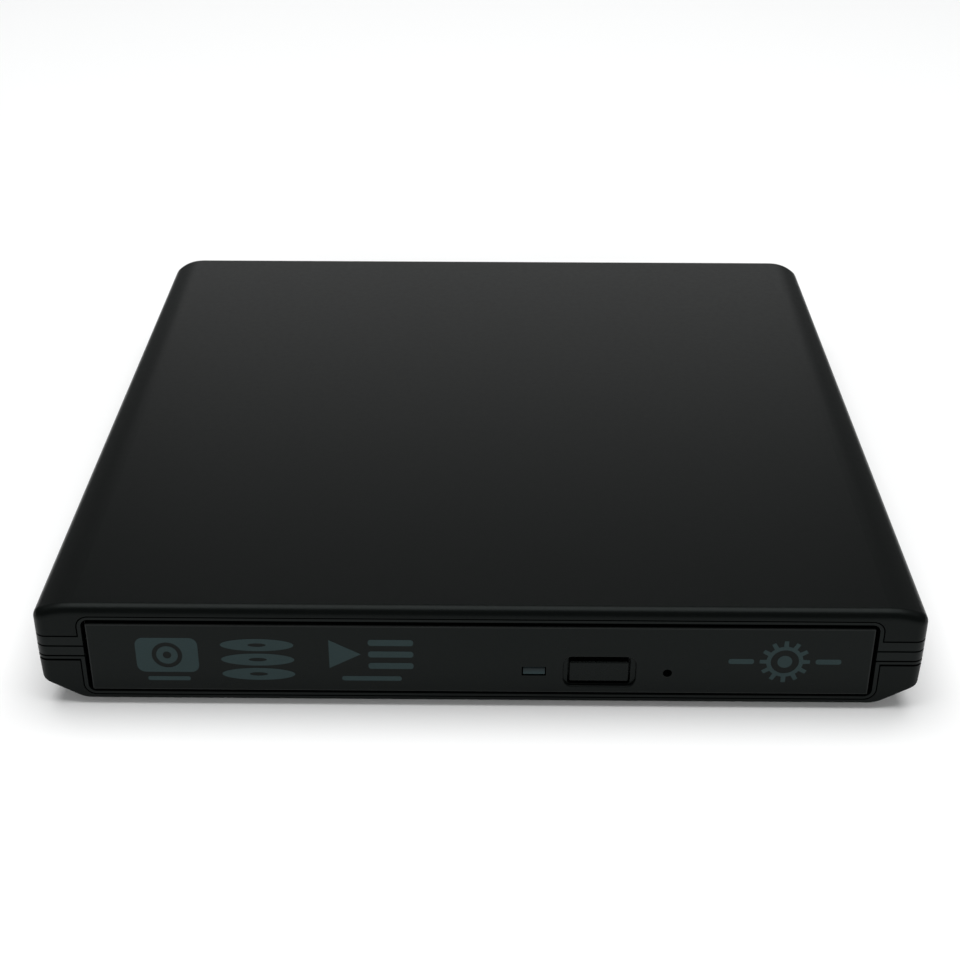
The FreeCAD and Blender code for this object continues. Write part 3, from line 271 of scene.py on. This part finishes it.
def turned(name, colour, roughness, centre):
    """Metal turned on a lathe: fine rings about an upright axis."""
    look = Look(name, colour, roughness, metallic=1.0)
    off = look.tree.nodes.new("ShaderNodeVectorMath")
    off.operation = "SUBTRACT"
    look.feed(off.inputs[0], look.stretched((1, 1, 0)))
    off.inputs[1].default_value = (centre[0], centre[1], 0)
    length = look.tree.nodes.new("ShaderNodeVectorMath")
    length.operation = "LENGTH"
    look.feed(length.inputs[0], off.outputs[0])
    distance = length.outputs["Value"]
    rings = look.node("TexNoise", {"noise_dimensions": "1D"}, W=distance, Scale=1 / (TURNED_RING * MM))
    look.shade(rings.outputs["Fac"], 0.85, 1.12)
    look.vary_roughness(rings.outputs["Fac"], 0.1)
    look.tint(look.ramp(look.noise(5.0, 4.0), 0.5, 0.8, 0.0, 0.25), (0.36, 0.35, 0.33))
    look.raise_by(rings.outputs["Fac"], 0.006)
    return look.done()


def cast(name, colour):
    look = Look(name, colour, 0.5, metallic=1.0)
    look.shade(look.noise(1.8, 5.0), 0.75, 1.15)
    look.vary_roughness(look.noise(1.0, 3.0), 0.12)
    look.raise_by(look.noise(0.35, 4.0), 0.03)
    return look.done()


def circuit_board(name, colour):
    """Solder mask over copper tracks, along X in some patches and along Y in others, with plated holes."""
    look = Look(name, colour, 0.32)
    patch = look.cells(PATCH_SIZE, {"distance": "CHEBYCHEV"}, Randomness=0.7).outputs["Color"]
    pick = look.node("SeparateColor", Color=patch)
    red = pick.outputs["Red"]
    along_x = look.math("MULTIPLY", look.stripes("Y", TRACK_PITCH, TRACK_SHARE), look.ramp(red, 0.5, 0.52))
    along_y = look.math("MULTIPLY", look.stripes("X", TRACK_PITCH, TRACK_SHARE), look.ramp(red, 0.36, 0.34))
    tracks = look.math("MAXIMUM", along_x, along_y)
    look.shade(look.noise(0.4, 2.0), 0.85, 1.1)
    look.tint(look.math("MULTIPLY", tracks, 0.7), (0.10, 0.34, 0.14))
    hole = look.ramp(look.cells(HOLE_SPACING).outputs["Distance"], 0.11, 0.09)
    look.tint(hole, (0.62, 0.60, 0.55))
    look.vary_roughness(look.noise(4.0), 0.05)
    look.raise_by(tracks, 0.02)
    return look.done()


def amber_film(name):
    """Polyimide film with copper conductors showing through, side by side."""
    look = Look(name, (0.34, 0.13, 0.025), 0.3)
    conductors = look.stripes("X", CONDUCTOR_PITCH, 0.5)
    look.tint(look.math("MULTIPLY", conductors, 0.75), (0.62, 0.30, 0.10))
    look.shade(look.noise(3.0, 3.0), 0.9, 1.1)
    look.vary_roughness(look.noise(2.0), 0.05)
    look.raise_by(conductors, 0.01)
    return look.done()


def wound_tape(name):
    """Amber tape over a fine winding."""
    look = Look(name, (0.42, 0.20, 0.04), 0.35)
    turns = look.stripes("Y", WINDING_PITCH, 0.5)
    look.tint(look.math("MULTIPLY", turns, 0.5), (0.60, 0.28, 0.09))
    look.shade(look.noise(1.5, 3.0), 0.85, 1.1)
    look.raise_by(turns, 0.015)
    return look.done()


def coated_sheet(name, colour):
    """Black paint with orange peel on sheet metal."""
    look = Look(name, colour, 0.42)
    look.shade(look.noise(7.0, 3.0), 0.85, 1.15)
    look.vary_roughness(look.noise(5.0, 3.0), 0.05)
    edge = look.math("MULTIPLY", look.edge(0.15), look.ramp(look.noise(1.0, 3.0), 0.45, 0.65))
    look.tint(edge, (0.2, 0.2, 0.2))
    look.raise_by(look.noise(0.9, 1.0), 0.02)
    return look.done()


def light_pipe(name):
    """Frosted window of the lamp, with painted light: paler towards its bottom and dim towards its top."""
    look = Look(name, (0.004, 0.007, 0.008), 0.3, specular=0.12)
    low, high = (corner.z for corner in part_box("led_lens"))
    # Painted light: the colour grows paler towards the window's bottom edge.
    look.tint(look.ramp(look.axis("Z"), high - 0.35 * MM, low + 0.2 * MM), (0.011, 0.023, 0.025))
    look.shade(look.noise(0.8, 2.0), 0.88, 1.12)
    look.raise_by(look.noise(0.2, 1.0), 0.006)
    look.set("Coat Weight", 0.1)
    return look.done()


def coated_glass(name):
    """Lens with a violet-blue coating."""
    look = Look(name, (0.55, 0.62, 0.85), 0.03)
    look.shade(look.noise(2.0), 0.92, 1.08)
    look.set("Transmission Weight", 0.8)
    look.set("IOR", 1.55)
    look.set("Coat Weight", 0.6)
    return look.done()


def gilded(name):
    """Gold flash over nickel: faint wipe marks along Y."""
    look = Look(name, (0.83, 0.60, 0.24), 0.22, metallic=1.0)
    look.shade(look.noise(0.6, 3.0), 0.85, 1.1)
    look.vary_roughness(look.noise(0.4, 2.0, (6, 1, 6)), 0.08)
    look.raise_by(look.noise(0.15, 2.0, (8, 1, 8)), 0.003)
    return look.done()


def printed_ink(name):
    look = Look(name, (0.015, 0.027, 0.028), 0.5, specular=0.12)
    look.shade(look.noise(0.25, 2.0), 0.85, 1.15)
    look.shade(look.noise(3.0, 2.0), 0.93, 1.07)
    look.raise_by(look.noise(0.2), 0.004)
    return look.done()


spindle_low, spindle_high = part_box("disc_hub")
spindle_at = (spindle_low + spindle_high) / 2
CASE = (0.0012, 0.0015, 0.0014)
FRAME = (0.0018, 0.0022, 0.0021)
FRONT = (0.0015, 0.0018, 0.0017)
ZINC = (0.56, 0.57, 0.57)
LOOKS = {
    "case_black": moulded("case_plastic", CASE, 0.34, grain=0.32, depth=0.006, specular=0.1, wear_and_highlight=0.1),
    "frame_black": moulded("frame_plastic", FRAME, 0.30, grain=0.25, depth=0.004, specular=0.12, wear_and_highlight=0.1),
    "bezel_black": moulded(
        "bezel_plastic", FRONT, 0.30,
        grain=0.25, depth=0.004, specular=0.115, wear_and_highlight=0.3, plate="front_bezel"),
    "button_black": moulded(
        "button_plastic", FRONT, 0.28,
        grain=0.25, depth=0.003, specular=0.115, wear_and_highlight=0.3, plate="eject_button"),
    "tray_black": moulded("tray_plastic", (0.020, 0.021, 0.022), 0.50, grain=0.4, wear_and_highlight=0.2),
    "holder_black": moulded("holder_plastic", (0.022, 0.022, 0.022), 0.45),
    "connector_black": moulded("connector_plastic", (0.016, 0.016, 0.017), 0.42, grain=0.2, depth=0.006),
    "chip_black": moulded("epoxy", (0.022, 0.022, 0.023), 0.6, grain=0.15, depth=0.01),
    "hub_black": moulded("hub_plastic", (0.020, 0.020, 0.021), 0.3, depth=0.004),
    "holder_dark": moulded("lens_frame_plastic", (0.030, 0.030, 0.036), 0.4, grain=0.2, depth=0.006),
    "ejector_grey": moulded("grey_plastic", (0.30, 0.30, 0.29), 0.45, depth=0.006),
    "hook_white": moulded("acetal", (0.70, 0.69, 0.64), 0.4, grain=0.4, depth=0.004),
    "foot_rubber": rubber("foot_rubber", (0.020, 0.020, 0.020)),
    "damper_rubber": rubber("damper_rubber", (0.035, 0.035, 0.036)),
    "screw_steel": plated("zinc_plating", (0.42, 0.43, 0.44), 0.35),
    "socket_steel": plated("tin_plating", (0.62, 0.62, 0.60), 0.3, warm=(0.5, 0.5, 0.48)),
    "spring_steel": plated("spring_wire", (0.5, 0.5, 0.5), 0.25),
    "plunger_iron": plated("iron", (0.36, 0.35, 0.34), 0.4, warm=(0.3, 0.28, 0.26)),
    "sheet_steel": rolled("zinc_sheet", ZINC, 0.38, spangle=4.0),
    "rail_steel": rolled("bright_steel", (0.5, 0.5, 0.49), 0.28, lines=(60, 1, 60)),
    "screw_bright": plated("ground_steel", (0.68, 0.68, 0.68), 0.16, warm=(0.6, 0.6, 0.58)),
    "motor_steel": turned("turned_steel", (0.52, 0.52, 0.51), 0.3, spindle_at),
    "cast_metal": cast("cast_alloy", (0.5, 0.5, 0.5)),
    "cover_black": coated_sheet("black_coating", (0.022, 0.022, 0.022)),
    "board_green": circuit_board("solder_mask", (0.018, 0.13, 0.05)),
    "flex_amber": amber_film("polyimide"),
    "solenoid_wrap": wound_tape("winding_tape"),
    "lens_pale": light_pipe("frosted_window"),
    "optic_glass": coated_glass("coated_glass"),
    "mark_ink": printed_ink("printed_ink"),
    "contact_gold": gilded("gold_plating"),
}
for part in frame["record"]["subparts"]:
    mesh = frame["nodes"][part["node"]].data
    mesh.materials.clear()
    mesh.materials.append(LOOKS[part["material_slot"]])
lined_sheet = rolled("lined_sheet", ZINC, 0.38, spangle=4.0, lined=True)
frame["nodes"]["tray_shield"].data.materials[0] = lined_sheet


# ---- Mesh helpers ----
STEPS_PER_TURN = 20


def add_piece(name, mesh, material, body):
    """A new piece of the object that moves with a CAD body."""
    made = bpy.data.objects.new(name, mesh)
    bpy.context.scene.collection.objects.link(made)
    mesh.materials.clear()
    mesh.materials.append(material)
    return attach(made, body) if body else made


def swept(name, path, radius, sides=8):
    """A round wire along a list of points."""
    points = [Vector(p) for p in path]
    bm = bmesh.new()
    rings = []
    normal = (points[1] - points[0]).orthogonal().normalized()
    for index, point in enumerate(points):
        ahead = points[min(index + 1, len(points) - 1)] - points[max(index - 1, 0)]
        ahead.normalize()
        normal = (normal - ahead * normal.dot(ahead)).normalized()
        across = ahead.cross(normal)
        ring = []
        for side in range(sides):
            angle = 2 * math.pi * side / sides
            ring.append(bm.verts.new(point + radius * (math.cos(angle) * normal + math.sin(angle) * across)))
        rings.append(ring)
    for near, far in zip(rings, rings[1:]):
        for side in range(sides):
            after = (side + 1) % sides
            bm.faces.new((near[side], near[after], far[after], far[side]))
    bm.faces.new(rings[0][::-1])
    bm.faces.new(rings[-1])
    return to_mesh(name, bm)


def to_mesh(name, bm, smooth=True):
    bmesh.ops.recalc_face_normals(bm, faces=bm.faces)
    mesh = bpy.data.meshes.new(name)
    bm.to_mesh(mesh)
    bm.free()
    for face in mesh.polygons:
        face.use_smooth = smooth
    return mesh


def coil_spring(name, node, wire, turns):
    """A coil along Y that fills a CAD sleeve, from its front end to its back end."""
    low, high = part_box(node)
    centre = (low + high) / 2
    mean = (high.x - low.x) / 2 - wire / 2
    first, last = low.y + wire / 2, high.y - wire / 2
    path = []
    steps = turns * STEPS_PER_TURN
    for step in range(steps + 1):
        share = step / steps
        settled = min(max((share * turns - 1) / (turns - 2), 0.0), 1.0)
        closed = (share * turns - settled * (turns - 2)) * wire * 0.5
        y = first + closed + settled * (last - first - wire)
        angle = 2 * math.pi * turns * share
        path.append((centre.x + mean * math.cos(angle), y, centre.z + mean * math.sin(angle)))
    spring = add_piece(name, swept(name, path, wire / 2), LOOKS["spring_steel"], None)
    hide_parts(node)
    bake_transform(spring)


def lead_screw(name, node, joint):
    """The head's screw with a real thread, inside the CAD shaft's outline."""
    facts = next(j for j in frame["joints"] if j["name"] == joint)
    axis = Vector(facts["axis"]).normalized()
    origin = Vector(facts["pos_m"])
    offsets = [v.co - origin for v in frame["nodes"][node].data.vertices]
    along = [o.dot(axis) for o in offsets]
    start, end = min(along), max(along)
    radius = max((o - axis * o.dot(axis)).length for o in offsets)
    side = axis.cross(Vector((0, 0, 1)))
    up = side.cross(axis)
    pitch, depth = 3.0 * MM, 0.16 * MM
    starts = 2
    tip_length, tip_radius = 1.4 * MM, 0.5 * MM
    steps, sides = 320, 24
    bm = bmesh.new()
    rings = []
    for step in range(steps + 1):
        at = start + (end - start) * step / steps
        threaded = at <= end - tip_length
        thickness = radius if threaded else tip_radius
        ring = []
        for index in range(sides):
            angle = 2 * math.pi * index / sides
            turn = starts * (at / pitch - angle / (2 * math.pi)) % 1.0
            groove = depth * max(0.0, 1 - abs(turn - 0.5) * 4) if threaded else 0.0
            out = (thickness - groove) * (math.cos(angle) * side + math.sin(angle) * up)
            ring.append(bm.verts.new(origin + axis * at + out))
        rings.append(ring)
    for near, far in zip(rings, rings[1:]):
        for index in range(sides):
            after = (index + 1) % sides
            bm.faces.new((near[index], near[after], far[after], far[index]))
    bm.faces.new(rings[0][::-1])
    bm.faces.new(rings[-1])
    screw = add_piece(name, to_mesh(name, bm), LOOKS["screw_bright"], "lead_screw")
    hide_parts(node)


def folded_ribbon(name, node):
    """The flat cable: a lower leaf on the chassis, a fold, and an upper leaf above it, built in place as one still
    piece.
    """
    low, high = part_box(node)
    thick, crease = 0.10 * MM, 0.3 * MM
    upper_leaf, below_top = 50.3 * MM, 1.4 * MM
    floor, roof = low.z + thick / 2, low.z + 0.33 * MM
    back_low, back_high = high.y - thick, low.y + upper_leaf
    bend = low.y + 0.2 * MM
    middle = [(high.y - thick / 2, high.z - below_top)]
    middle += [(back_low, floor + crease), (back_low - crease, floor)]
    middle += [(bend + share * (back_low - bend), floor) for share in (0.75, 0.5, 0.25, 0.05)]
    reach = (roof - floor) / 2
    arc_steps = 8
    for index in range(arc_steps + 1):
        angle = math.pi / 2 + math.pi * index / arc_steps
        middle.append((bend + reach * math.cos(angle), floor + reach - reach * math.sin(angle)))
    middle += [(bend + share * (back_high - bend), roof) for share in (0.05, 0.25, 0.5, 0.75, 0.97)]
    middle += [(back_high, roof + crease), (back_high, high.z - thick / 2)]
    bm = bmesh.new()
    rows = [[bm.verts.new((x, y, z)) for x in (low.x, high.x)] for y, z in middle]
    for near, far in zip(rows, rows[1:]):
        bm.faces.new((near[0], near[1], far[1], far[0]))
    ribbon = add_piece(name, to_mesh(name, bm, False), LOOKS["flex_amber"], None)
    shell = ribbon.modifiers.new("thickness", "SOLIDIFY")
    shell.thickness = thick
    shell.offset = 0.0
    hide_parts(node)
    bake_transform(ribbon)


def add_box(bm, low, high):
    """A box between two corners in a mesh under construction."""
    made = bmesh.ops.create_cube(bm, size=1.0)["verts"]
    for vert in made:
        for axis in range(3):
            vert.co[axis] = high[axis] if vert.co[axis] > 0 else low[axis]


def strips_piece(name, boxes, slot, body):
    """Many small bars kept as one piece, with their edges broken."""
    bm = bmesh.new()
    for low, high in boxes:
        add_box(bm, low, high)
    piece = add_piece(name, to_mesh(name, bm, False), LOOKS[slot], body)
    edge = piece.modifiers.new("edge", "BEVEL")
    edge.width = 0.03 * MM
    edge.segments = 2


def socket_contacts():
    """Five springs along the USB socket's tongue, above and below, and the barrel socket's side spring."""
    low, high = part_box("usb_socket")
    middle = (low.x + high.x) / 2
    tongue_top, tongue_low = high.z - 1.55 * MM, high.z - 2.35 * MM
    y = (high.y - 7.0 * MM, high.y - 1.4 * MM)
    pitch, half_width, thick = 0.8 * MM, 0.2 * MM, 0.06 * MM
    boxes = []
    for index in range(-2, 3):
        at = middle + pitch * index
        x = (at - half_width, at + half_width)
        boxes.append(((x[0], y[0], tongue_top), (x[1], y[1], tongue_top + thick)))
        boxes.append(((x[0], y[0], tongue_low - thick), (x[1], y[1], tongue_low)))
    strips_piece("usb_contacts", boxes, "contact_gold", "enclosure")
    low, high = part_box("power_socket")
    middle, centre = (low.x + high.x) / 2, (low.z + high.z) / 2
    bore, half_height, thick = 1.84 * MM, 0.5 * MM, 0.15 * MM
    first = (middle - bore, high.y - 6.5 * MM, centre - half_height)
    last = (middle - bore + thick, high.y - 1.5 * MM, centre + half_height)
    strips_piece("power_contact", [(first, last)], "contact_gold", "enclosure")


def solid_boxes(node):
    """Lowest and highest corner of each separate solid of a node."""
    bm = bmesh.new()
    bm.from_mesh(frame["nodes"][node].data)
    bmesh.ops.remove_doubles(bm, verts=bm.verts, dist=1e-6)
    left = set(bm.verts)
    boxes = []
    while left:
        island, edge = set(), [next(iter(left))]
        while edge:
            vert = edge.pop()
            if vert in island:
                continue
            island.add(vert)
            edge += [e.other_vert(vert) for e in vert.link_edges]
        left -= island
        corners = [tuple(pick(v.co[axis] for v in island) for axis in range(3)) for pick in (min, max)]
        boxes.append(corners)
    bm.free()
    return sorted(boxes)


LEAST_PACKAGE = 4.5 * MM
LARGEST_CHIP_AREA = 4 * MM * MM


def chip_legs(node, body):
    """Gull-wing legs along the long sides of the packages, and soldered ends on the small parts."""
    board_side = 1 if node == "tray_chips" else 0
    boxes = []
    for low, high in solid_boxes(node):
        wide, deep = high[0] - low[0], high[1] - low[1]
        foot = (low, high)[board_side][2]
        inward = -1 if board_side else 1
        if min(wide, deep) > LEAST_PACKAGE:
            boxes += package_legs(low, high, foot, inward)
        elif wide * deep < LARGEST_CHIP_AREA:
            boxes += soldered_ends(low, high)
    strips_piece(node + "_legs", boxes, "socket_steel", body)


def package_legs(low, high, foot, inward):
    """Each leg is a shoulder, a drop to the board and a foot."""
    pitch, width, reach, thick, margin = 0.8 * MM, 0.32 * MM, 0.55 * MM, 0.15 * MM, 1.0 * MM
    count = int((high[1] - low[1] - margin) / pitch)
    start = (low[1] + high[1] - (count - 1) * pitch) / 2
    middle = (low[2] + high[2]) / 2
    boxes = []
    for index in range(count):
        y = (start + index * pitch - width / 2, start + index * pitch + width / 2)
        for side, edge in ((-1, low[0]), (1, high[0])):
            shoulder = sorted((edge, edge + side * reach * 0.5))
            boxes.append(((shoulder[0], y[0], middle - thick / 2), (shoulder[1], y[1], middle + thick / 2)))
            drop = sorted((edge + side * reach * 0.5, edge + side * (reach * 0.5 + thick)))
            z = sorted((foot, middle + inward * thick / 2))
            boxes.append(((drop[0], y[0], z[0]), (drop[1], y[1], z[1])))
            pad = sorted((edge + side * reach * 0.5, edge + side * reach))
            z = sorted((foot, foot + inward * thick))
            boxes.append(((pad[0], y[0], z[0]), (pad[1], y[1], z[1])))
    return boxes


def soldered_ends(low, high):
    """Metal caps over the two ends of a chip resistor or capacitor."""
    cap, grow = 0.3 * MM, 0.02 * MM
    along = 0 if high[0] - low[0] > high[1] - low[1] else 1
    boxes = []
    for end in (low, high):
        first = [c - grow for c in low]
        last = [c + grow for c in high]
        if end is low:
            last[along] = low[along] + cap
        else:
            first[along] = high[along] - cap
        boxes.append((first, last))
    return boxes


# ---- Printed marks ----
def ring_points(x, z, radius, count=48, start=0.0, sweep=360.0):
    points = []
    for index in range(count + (0 if sweep == 360.0 else 1)):
        angle = math.radians(start + sweep * index / count)
        points.append((x + radius * math.cos(angle), z + radius * math.sin(angle)))
    return points


def rounded_points(x, z, radius):
    """Outline of a rectangle between two X and two Z values with round corners."""
    points = []
    corners = ((x[1], z[1], 0), (x[0], z[1], 90), (x[0], z[0], 180), (x[1], z[0], 270))
    for corner_x, corner_z, start in corners:
        centre_x = corner_x - radius if corner_x == x[1] else corner_x + radius
        centre_z = corner_z - radius if corner_z == z[1] else corner_z + radius
        points += ring_points(centre_x, centre_z, radius, 6, start, 90.0)
    return points


def print_mark(name, outlines):
    """Thin ink on the bezel: outlines in millimetres, X from the middle and Z from the case's underside."""
    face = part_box("front_bezel")[0].y
    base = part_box("bottom_cover")[0].z
    curve = bpy.data.curves.new(name, "CURVE")
    curve.dimensions = "2D"
    curve.fill_mode = "BOTH"
    curve.extrude = 0.01 * MM
    for outline in outlines:
        spline = curve.splines.new("POLY")
        spline.points.add(len(outline) - 1)
        for point, (x, z) in zip(spline.points, outline):
            point.co = (x * MM, z * MM, 0, 1)
        spline.use_cyclic_u = True
    draft = bpy.data.objects.new(name + "_draft", curve)
    bpy.context.scene.collection.objects.link(draft)
    bpy.context.view_layer.update()
    mesh = bpy.data.meshes.new_from_object(draft.evaluated_get(bpy.context.evaluated_depsgraph_get()))
    bpy.data.objects.remove(draft)
    turn = Matrix.Rotation(math.pi / 2, 4, "X")
    mesh.transform(Matrix.Translation((0, face - 0.008 * MM, base)) @ turn)
    mesh.name = name
    add_piece(name, mesh, LOOKS["mark_ink"], "tray")


def ellipse_points(x, z, across, upright):
    return [(x + across * (px - x), z + upright * (pz - z)) for px, pz in ring_points(x, z, 1.0)]


def star_points(x, z, rays, inner, outer):
    """Outline of a disc with short square rays round it."""
    points = []
    step = 360.0 / rays
    for index in range(rays):
        start = index * step
        points += ring_points(x, z, outer, 2, start - 0.17 * step, 0.34 * step)
        points += ring_points(x, z, inner, 3, start + 0.25 * step, 0.5 * step)
    return points


def print_marks():
    """Plain pictograms where the bezel carries marks: a disc, a stack, an arrow and a lamp."""
    disc_x, disc_z = -51.1, 8.7
    badge = rounded_points((disc_x - 5.1, disc_x + 5.1), (disc_z - 3.4, disc_z + 3.4), 1.4)
    disc = [ring_points(disc_x, disc_z, radius) for radius in (2.5, 1.75, 0.7)]
    print_mark("mark_disc", [badge] + disc)
    print_mark("mark_disc_bar", [rounded_points((-54.6, -47.6), (3.6, 4.4), 0.35)])
    stack_x, stack_pitch = -36.3, 2.9
    for index in range(3):
        z = 5.0 + stack_pitch * index
        sheet = [ellipse_points(stack_x, z, 6.0, 1.2), ellipse_points(stack_x, z, 1.5, 0.35)]
        print_mark("mark_stack_" + str(index), sheet)
    arrow = [(-24.6, 6.3), (-24.6, 11.9), (-19.4, 9.1)]
    lines = [rounded_points((-18.2, -10.8), (z, z + 1.2), 0.5) for z in (6.2, 8.5, 10.8)]
    print_mark("mark_play", [arrow] + lines)
    print_mark("mark_play_bar", [rounded_points((-22.6, -12.8), (3.8, 4.7), 0.4)])
    lamp_x, lamp_z = 49.8, 8.2
    lamp = [star_points(lamp_x, lamp_z, 12, 3.0, 4.1)]
    lamp += [ring_points(lamp_x, lamp_z, radius) for radius in (2.3, 1.2)]
    bars = [rounded_points(x, (7.7, 8.7), 0.45) for x in ((40.6, 44.8), (54.8, 59.0))]
    print_mark("mark_lamp", lamp + bars)


# ---- New pieces ----
coil_spring("ejector_coil", "ejector_spring", 0.28 * MM, 13)
coil_spring("button_coil", "button_spring", 0.3 * MM, 6)
lead_screw("threaded_screw", "lead_screw", "lead_screw_turn")
folded_ribbon("flat_cable", "flex_cable")
print_marks()
socket_contacts()
for node, body in (("tray_chips", "tray"), ("bridge_parts", "enclosure")):
    chip_legs(node, body)


# ---- Stage ----
FLOOR_REACH = 4.0
CAMERA_AT = (0.0021156, -0.2938841, 0.1713525)
CAMERA_PITCH = 30.0452
CAMERA_YAW = -0.54074
CAMERA_ROLL = 0.08541
CAMERA_LENS = 62.603
ORIGIN = (0.0, 0.0, 0.0)


def studio_floor():
    bm = bmesh.new()
    bmesh.ops.create_grid(bm, x_segments=2, y_segments=2, size=FLOOR_REACH)
    mesh = to_mesh("floor", bm)
    floor = bpy.data.objects.new("floor", mesh)
    bpy.context.scene.collection.objects.link(floor)
    look = Look("pale_floor", (0.95, 0.95, 0.95), 0.9, specular=0.1)
    look.shade(look.noise(300.0, 2.0), 0.99, 1.01)
    mesh.materials.append(look.done())


def softbox(name, place, size, power):
    """A rectangular light that points at the object's foot and doesn't show itself."""
    light = bpy.data.lights.new(name, "AREA")
    light.shape = "RECTANGLE"
    light.size, light.size_y = size
    light.energy = power
    lamp = bpy.data.objects.new(name, light)
    bpy.context.scene.collection.objects.link(lamp)
    lamp.location = place
    lamp.rotation_euler = (Vector(ORIGIN) - Vector(place)).to_track_quat("-Z", "Y").to_euler()
    lamp.visible_camera = False
    return lamp


def studio_camera():
    """Above and in front of the drive, looking down at its front edge."""
    pitch, yaw, roll = (math.radians(a) for a in (CAMERA_PITCH, CAMERA_YAW, CAMERA_ROLL))
    ahead = Vector((math.sin(yaw) * math.cos(pitch), math.cos(yaw) * math.cos(pitch), -math.sin(pitch)))
    right = Vector((math.cos(yaw), -math.sin(yaw), 0))
    up = right.cross(ahead)
    turned_right = math.cos(roll) * right + math.sin(roll) * up
    turned_up = math.cos(roll) * up - math.sin(roll) * right
    data = bpy.data.cameras.new("camera")
    data.sensor_width = 36.0
    data.lens = CAMERA_LENS
    data.clip_start = 0.005
    camera = bpy.data.objects.new("camera", data)
    bpy.context.scene.collection.objects.link(camera)
    turn = Matrix((turned_right, turned_up, -ahead)).transposed().to_4x4()
    camera.matrix_world = Matrix.Translation(CAMERA_AT) @ turn
    bpy.context.scene.camera = camera


def studio_world():
    world = bpy.data.worlds.new("studio")
    world.use_nodes = True
    background = world.node_tree.nodes["Background"]
    background.inputs["Color"].default_value = (0.97, 1.0, 1.0, 1)
    background.inputs["Strength"].default_value = 0.215
    bpy.context.scene.world = world
    bpy.context.scene.view_settings.view_transform = "Standard"


studio_floor()
softbox("overhead", place=(0.0, 0.05, 1.1), size=(1.2, 1.0), power=13.0)
softbox("behind", place=(0.0, 1.3, 0.42), size=(0.9, 0.45), power=1.05)
fill = softbox("front_fill", place=(0.0, -1.3, 0.35), size=(2.0, 0.5), power=9.5)
fill.visible_glossy = False
studio_world()
studio_camera()
